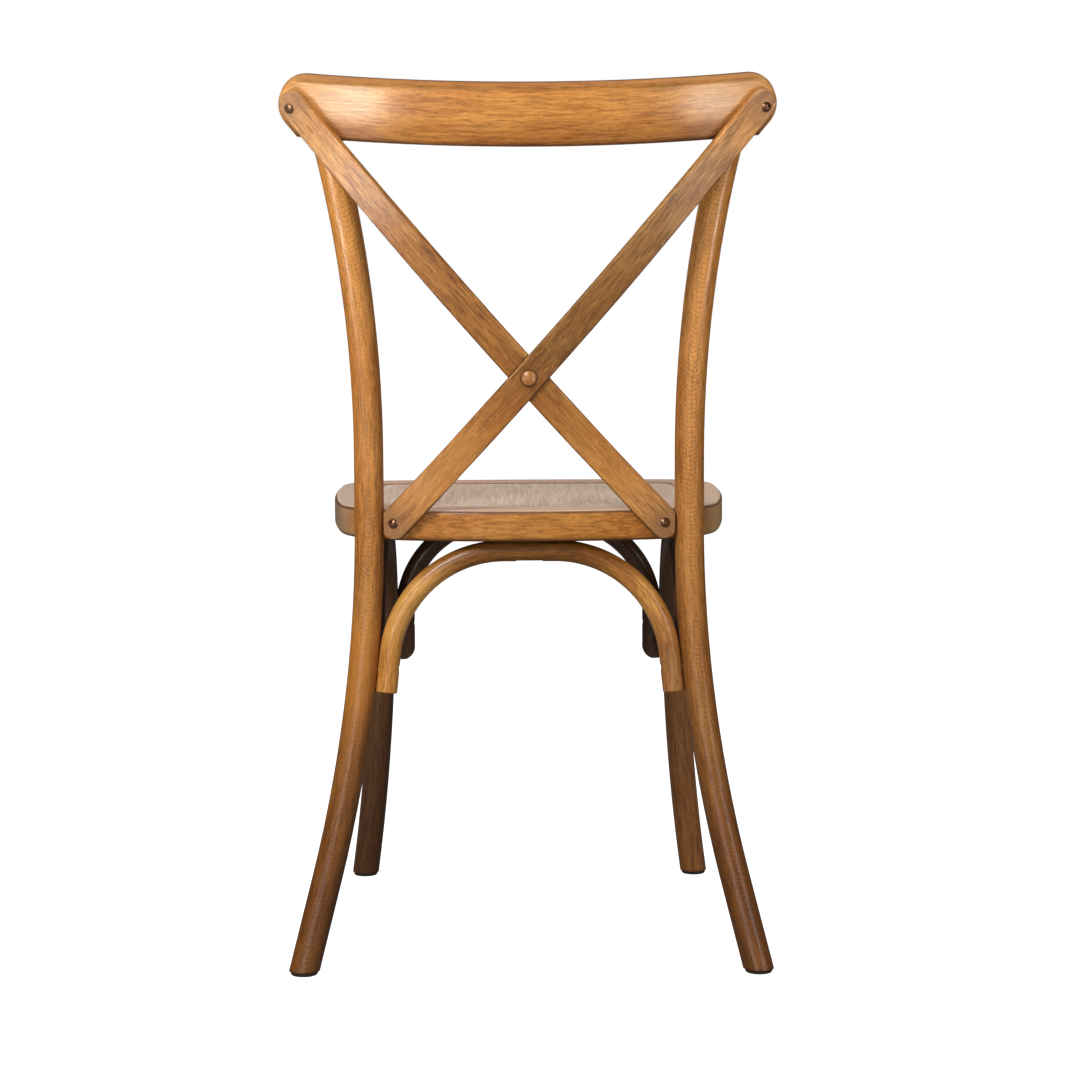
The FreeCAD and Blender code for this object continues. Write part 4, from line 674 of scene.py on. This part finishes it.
def strap_wood(name, side, seed, pith, stains=(), shades=()):
    return wood(
        name, strap_grain(side), STRAP_TONES, seed=seed, pith=pith, pitch=0.004, taper=0.06,
        dark_rings=0.25, mottle=0.8, fine=1.5, scratches=0.45,
        stains=(strap_low_part, strap_edge_painted_shade, strap_ends, *stains),
        shades=(strap_middle, *shades),
    )


def seat_wood(name, grain, seed, pith):
    return wood(
        name, grain, seed=seed, pith=pith, pitch=0.0042, taper=0.03, dark_rings=0.2,
        stains=(seat_flanks_painted_reflection, seat_right_end_painted_light, seat_edge_painted_shade, seat_top_painted_sheen),
    )


# The front and side hoops take the shaded copy of the honey wood: painted shade under the seat
def hoop_wood(name, grain, seed, tones=SHADE_HONEY, stains=()):
    return wood(
        name, grain, tones, seed=seed, pitch=0.0028, coat=0.35,
        stains=stains, shades=(hoop_top, hoop_right_leg_painted_shade),
    )


REAR_HOOP = hoop_grain(
    REAR_HOOP_BEND, REAR_HOOP_HALF_FLAT, 0.0, REAR_HOOP_Y, turned=False, slope=REAR_HOOP_SLOPE
)
FRONT_HOOP = hoop_grain(FRONT_HOOP_BEND, FRONT_HOOP_HALF_FLAT, 0.0, FRONT_LEG_Y, turned=False)
LEFT_HOOP = hoop_grain(SIDE_HOOP_BEND, SIDE_HOOP_HALF_FLAT, SIDE_HOOP_X, SIDE_HOOP_Y, turned=True)
RIGHT_HOOP = hoop_grain(SIDE_HOOP_BEND, SIDE_HOOP_HALF_FLAT, -SIDE_HOOP_X, SIDE_HOOP_Y, turned=True)

finishes = {
    "rear_leg_left": back_leg_wood("left", 1, 1.0, (0.002, -0.06)),
    "rear_leg_right": back_leg_wood("right", -1, 21.0, (-0.001, -0.07)),
    # Painted shade: both front legs take darkened copies of the honey wood, the left one darker
    "front_leg_left": front_leg_wood("left", 1, 5.0, SHADE_HONEY),
    "front_leg_right": front_leg_wood("right", -1, 35.0, HALF_SHADED_HONEY),
    "crest_rail": wood(
        "crest rail wood", rail_grain, seed=3.0, pith=(0.012, -0.11), pitch=0.0042, taper=0.03,
        mottle=0.3, fine=1.3, coat=0.9, dull=rail_dull_parts,
        stains=(rail_ends_painted_highlight, rail_low_edge_painted_shade, rail_edge_painted_shade), shades=(rail_top_painted_shade, rail_low_painted_shade),
    ),
    "cross_strap_outer": strap_wood(
        "outer strap wood", -1, 8.0, (0.02, -0.05),
        stains=(crossing_edge_painted_highlight, button_painted_shadow), shades=(outer_strap_top,),
    ),
    "cross_strap_inner": strap_wood("inner strap wood", 1, 12.0, (-0.03, -0.06)),
    "seat_rail_rear": seat_wood("seat rear wood", seat_end_grain, 14.0, (0.39, 0.05)),
    "seat_rail_front": seat_wood("seat front wood", seat_end_grain, 15.0, (0.39, -0.35)),
    "seat_rail_left": seat_wood("seat left wood", seat_side_grain, 16.0, (0.1, 0.39)),
    "seat_rail_right": seat_wood("seat right wood", seat_side_grain, 17.0, (-0.1, 0.39)),
    "seat_panel": wood(
        "seat panel wood", panel_grain, SEAT_TONES, seed=18.0, pith=(0.03, 0.30), pitch=0.005,
        taper=0.04, dark_rings=0.1, mottle=0.12, clouds=0.4, pored=0.2, smooth=0.45,
    ),
    "hoop_rear": hoop_wood("rear hoop wood", REAR_HOOP, 24.0, LIT_HOOP_TONES, (hoop_left_bend_painted_highlight,)),
    "hoop_front": hoop_wood("front hoop wood", FRONT_HOOP, 25.0),
    "hoop_left": hoop_wood("left hoop wood", LEFT_HOOP, 26.0),
    "hoop_right": hoop_wood("right hoop wood", RIGHT_HOOP, 27.0),
    "seat_frame_dowels": wood("dowel wood", seat_side_grain, PALE_WOOD, seed=30.0),
    "crossing_button": turned_wood("button wood"),
    "crossing_nut": turned_wood("nut wood"),
}

BRONZE = metal("bronzed screw", rgb(134, 98, 76), 0.22, 0.6)
ZINC = metal("zinc plated steel", rgb(176, 174, 170), 0.3, 0.4)
BRASS = metal("insert brass", rgb(206, 172, 98), 0.3, 0.4)
GLIDE = plastic("glide plastic", rgb(52, 42, 36), 0.5)

for finish, nodes in (
    (BRONZE, ("strap_top_screws", "strap_foot_screws")),
    (ZINC, ("hoop_leg_screws", "hoop_top_screws", "post_bolts", "post_bolt_washers")),
    (ZINC, ("crossing_bolt", "glide_nails")),
    (BRASS, ("post_inserts",)),
    (GLIDE, ("foot_glide_rear_left", "foot_glide_rear_right")),
    (GLIDE, ("foot_glide_front_left", "foot_glide_front_right")),
):
    finishes.update(dict.fromkeys(nodes, finish))

for name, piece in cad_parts.items():
    if piece.material_slots:
        for slot in piece.material_slots:
            slot.material = finishes[name]
    else:
        piece.data.materials.append(finishes[name])


# Stage: a pale floor, a bright surround, and soft lights

FLOOR_REACH = 60.0
FLOOR_GLOW = 1.1
SURROUND_SEEN = 1.0
SURROUND_CAST = 0.09


def seen_only(tree, seen, cast):
    """A strength for what the camera sees straight on, and another for the light it gives."""
    rays = tree.nodes.new("ShaderNodeLightPath")
    return Value(tree, rays.outputs["Is Camera Ray"]) * (seen - cast) + cast


def pale_floor():
    """A level floor that looks white and throws almost no colour on the chair."""
    mesh = bpy.data.meshes.new("floor")
    corners = [
        (-FLOOR_REACH, -FLOOR_REACH, 0),
        (FLOOR_REACH, -FLOOR_REACH, 0),
        (FLOOR_REACH, FLOOR_REACH, 0),
        (-FLOOR_REACH, FLOOR_REACH, 0),
    ]
    mesh.from_pydata(corners, [], [(0, 1, 2, 3)])
    floor = bpy.data.objects.new("floor", mesh)
    bpy.context.scene.collection.objects.link(floor)
    finish = Finish("pale floor")
    clouds = finish.noise(finish.position(), (2, 2, 2), detail=3)
    finish.set(
        Base_Color=finish.mix(clouds, rgb(128, 127, 126), rgb(134, 134, 133)),
        Roughness=0.9,
        Specular_IOR_Level=0.1,
        Emission_Color=(1.0, 1.0, 1.0, 1.0),
        Emission_Strength=seen_only(finish.tree, FLOOR_GLOW, 0.0),
    )
    mesh.materials.append(finish.material)


def surround():
    """A white surround that lights the chair less than it shows."""
    world = bpy.data.worlds.new("studio")
    bpy.context.scene.world = world
    world.use_nodes = True
    tree = world.node_tree
    background = tree.nodes["Background"]
    background.inputs["Color"].default_value = (1.0, 1.0, 1.0, 1.0)
    plug(tree, seen_only(tree, SURROUND_SEEN, SURROUND_CAST), background.inputs["Strength"])


DAYLIGHT = (1.0, 0.98, 0.95)
COOL = (0.97, 1.0, 0.97)
STRIP_HEIGHT = 0.06
STRIP_SPREAD = 40

CHAIR_MIDDLE = (0.0, 0.15, 0.6)
SEAT_MIDDLE = (0.0, 0.0, 0.45)
RAIL_LEFT_END = (0.19, 0.2, 0.885)
RAIL_RIGHT_END = (-0.20, 0.2, 0.885)


def soft_light(name, place, target, size, power, height=None, spread=180, colour=DAYLIGHT):
    """A lamp with a large face, which looks at the target. Spread is in degrees."""
    data = bpy.data.lights.new(name, "AREA")
    data.shape = "ELLIPSE"
    data.size = size
    data.size_y = height or size
    data.energy = power
    data.color = colour
    data.spread = math.radians(spread)
    light = bpy.data.objects.new(name, data)
    bpy.context.scene.collection.objects.link(light)
    light.location = place
    aim = Vector(target) - Vector(place)
    light.rotation_euler = aim.to_track_quat("-Z", "Y").to_euler()


def strip_light(name, place, target, size, power):
    """A low, narrow lamp whose image shines in the rail."""
    soft_light(name, place, target, size, power, STRIP_HEIGHT, STRIP_SPREAD, COOL)


CAMERA_PLACE = Vector((0.010967, 2.81994, 0.69063))
CAMERA_PITCH = 0.0986
CAMERA_YAW = -0.0081
CAMERA_ROLL = -0.004
SENSOR_WIDTH = 36.0
FOCAL_LENGTH_IN_PICTURE_WIDTHS = 2648.98 / 1080


def camera():
    """The camera: behind the chair, a little above the seat, with a long lens."""
    forward = Vector(
        (
            math.sin(CAMERA_YAW) * math.cos(CAMERA_PITCH),
            -math.cos(CAMERA_YAW) * math.cos(CAMERA_PITCH),
            -math.sin(CAMERA_PITCH),
        )
    )
    level = Vector((-math.cos(CAMERA_YAW), -math.sin(CAMERA_YAW), 0.0))
    up = level.cross(forward)
    right = level * math.cos(CAMERA_ROLL) + up * math.sin(CAMERA_ROLL)
    top = up * math.cos(CAMERA_ROLL) - level * math.sin(CAMERA_ROLL)
    data = bpy.data.cameras.new("camera")
    data.sensor_width = SENSOR_WIDTH
    data.lens = SENSOR_WIDTH * FOCAL_LENGTH_IN_PICTURE_WIDTHS
    eye = bpy.data.objects.new("camera", data)
    bpy.context.scene.collection.objects.link(eye)
    turn = Matrix((right, top, -forward)).transposed().to_4x4()
    eye.matrix_world = Matrix.Translation(CAMERA_PLACE) @ turn
    bpy.context.scene.camera = eye


pale_floor()
surround()
soft_light("key", (1.1, 1.9, 2.2), CHAIR_MIDDLE, 0.9, 51.0)
soft_light("rear fill", (0.9, 3.4, 1.0), CHAIR_MIDDLE, 1.4, 22.0)
soft_light("right fill", (-1.9, 1.9, 1.2), CHAIR_MIDDLE, 0.9, 14.0)
soft_light("top", (0.0, 0.0, 2.5), SEAT_MIDDLE, 1.2, 36.0)
strip_light("low left strip", (1.06, 1.10, 0.13), RAIL_LEFT_END, 0.6, 0.62)
strip_light("low right strip", (-1.08, 1.08, 0.14), RAIL_RIGHT_END, 0.4, 0.32)
camera()
bpy.context.scene.view_settings.view_transform = "Standard"
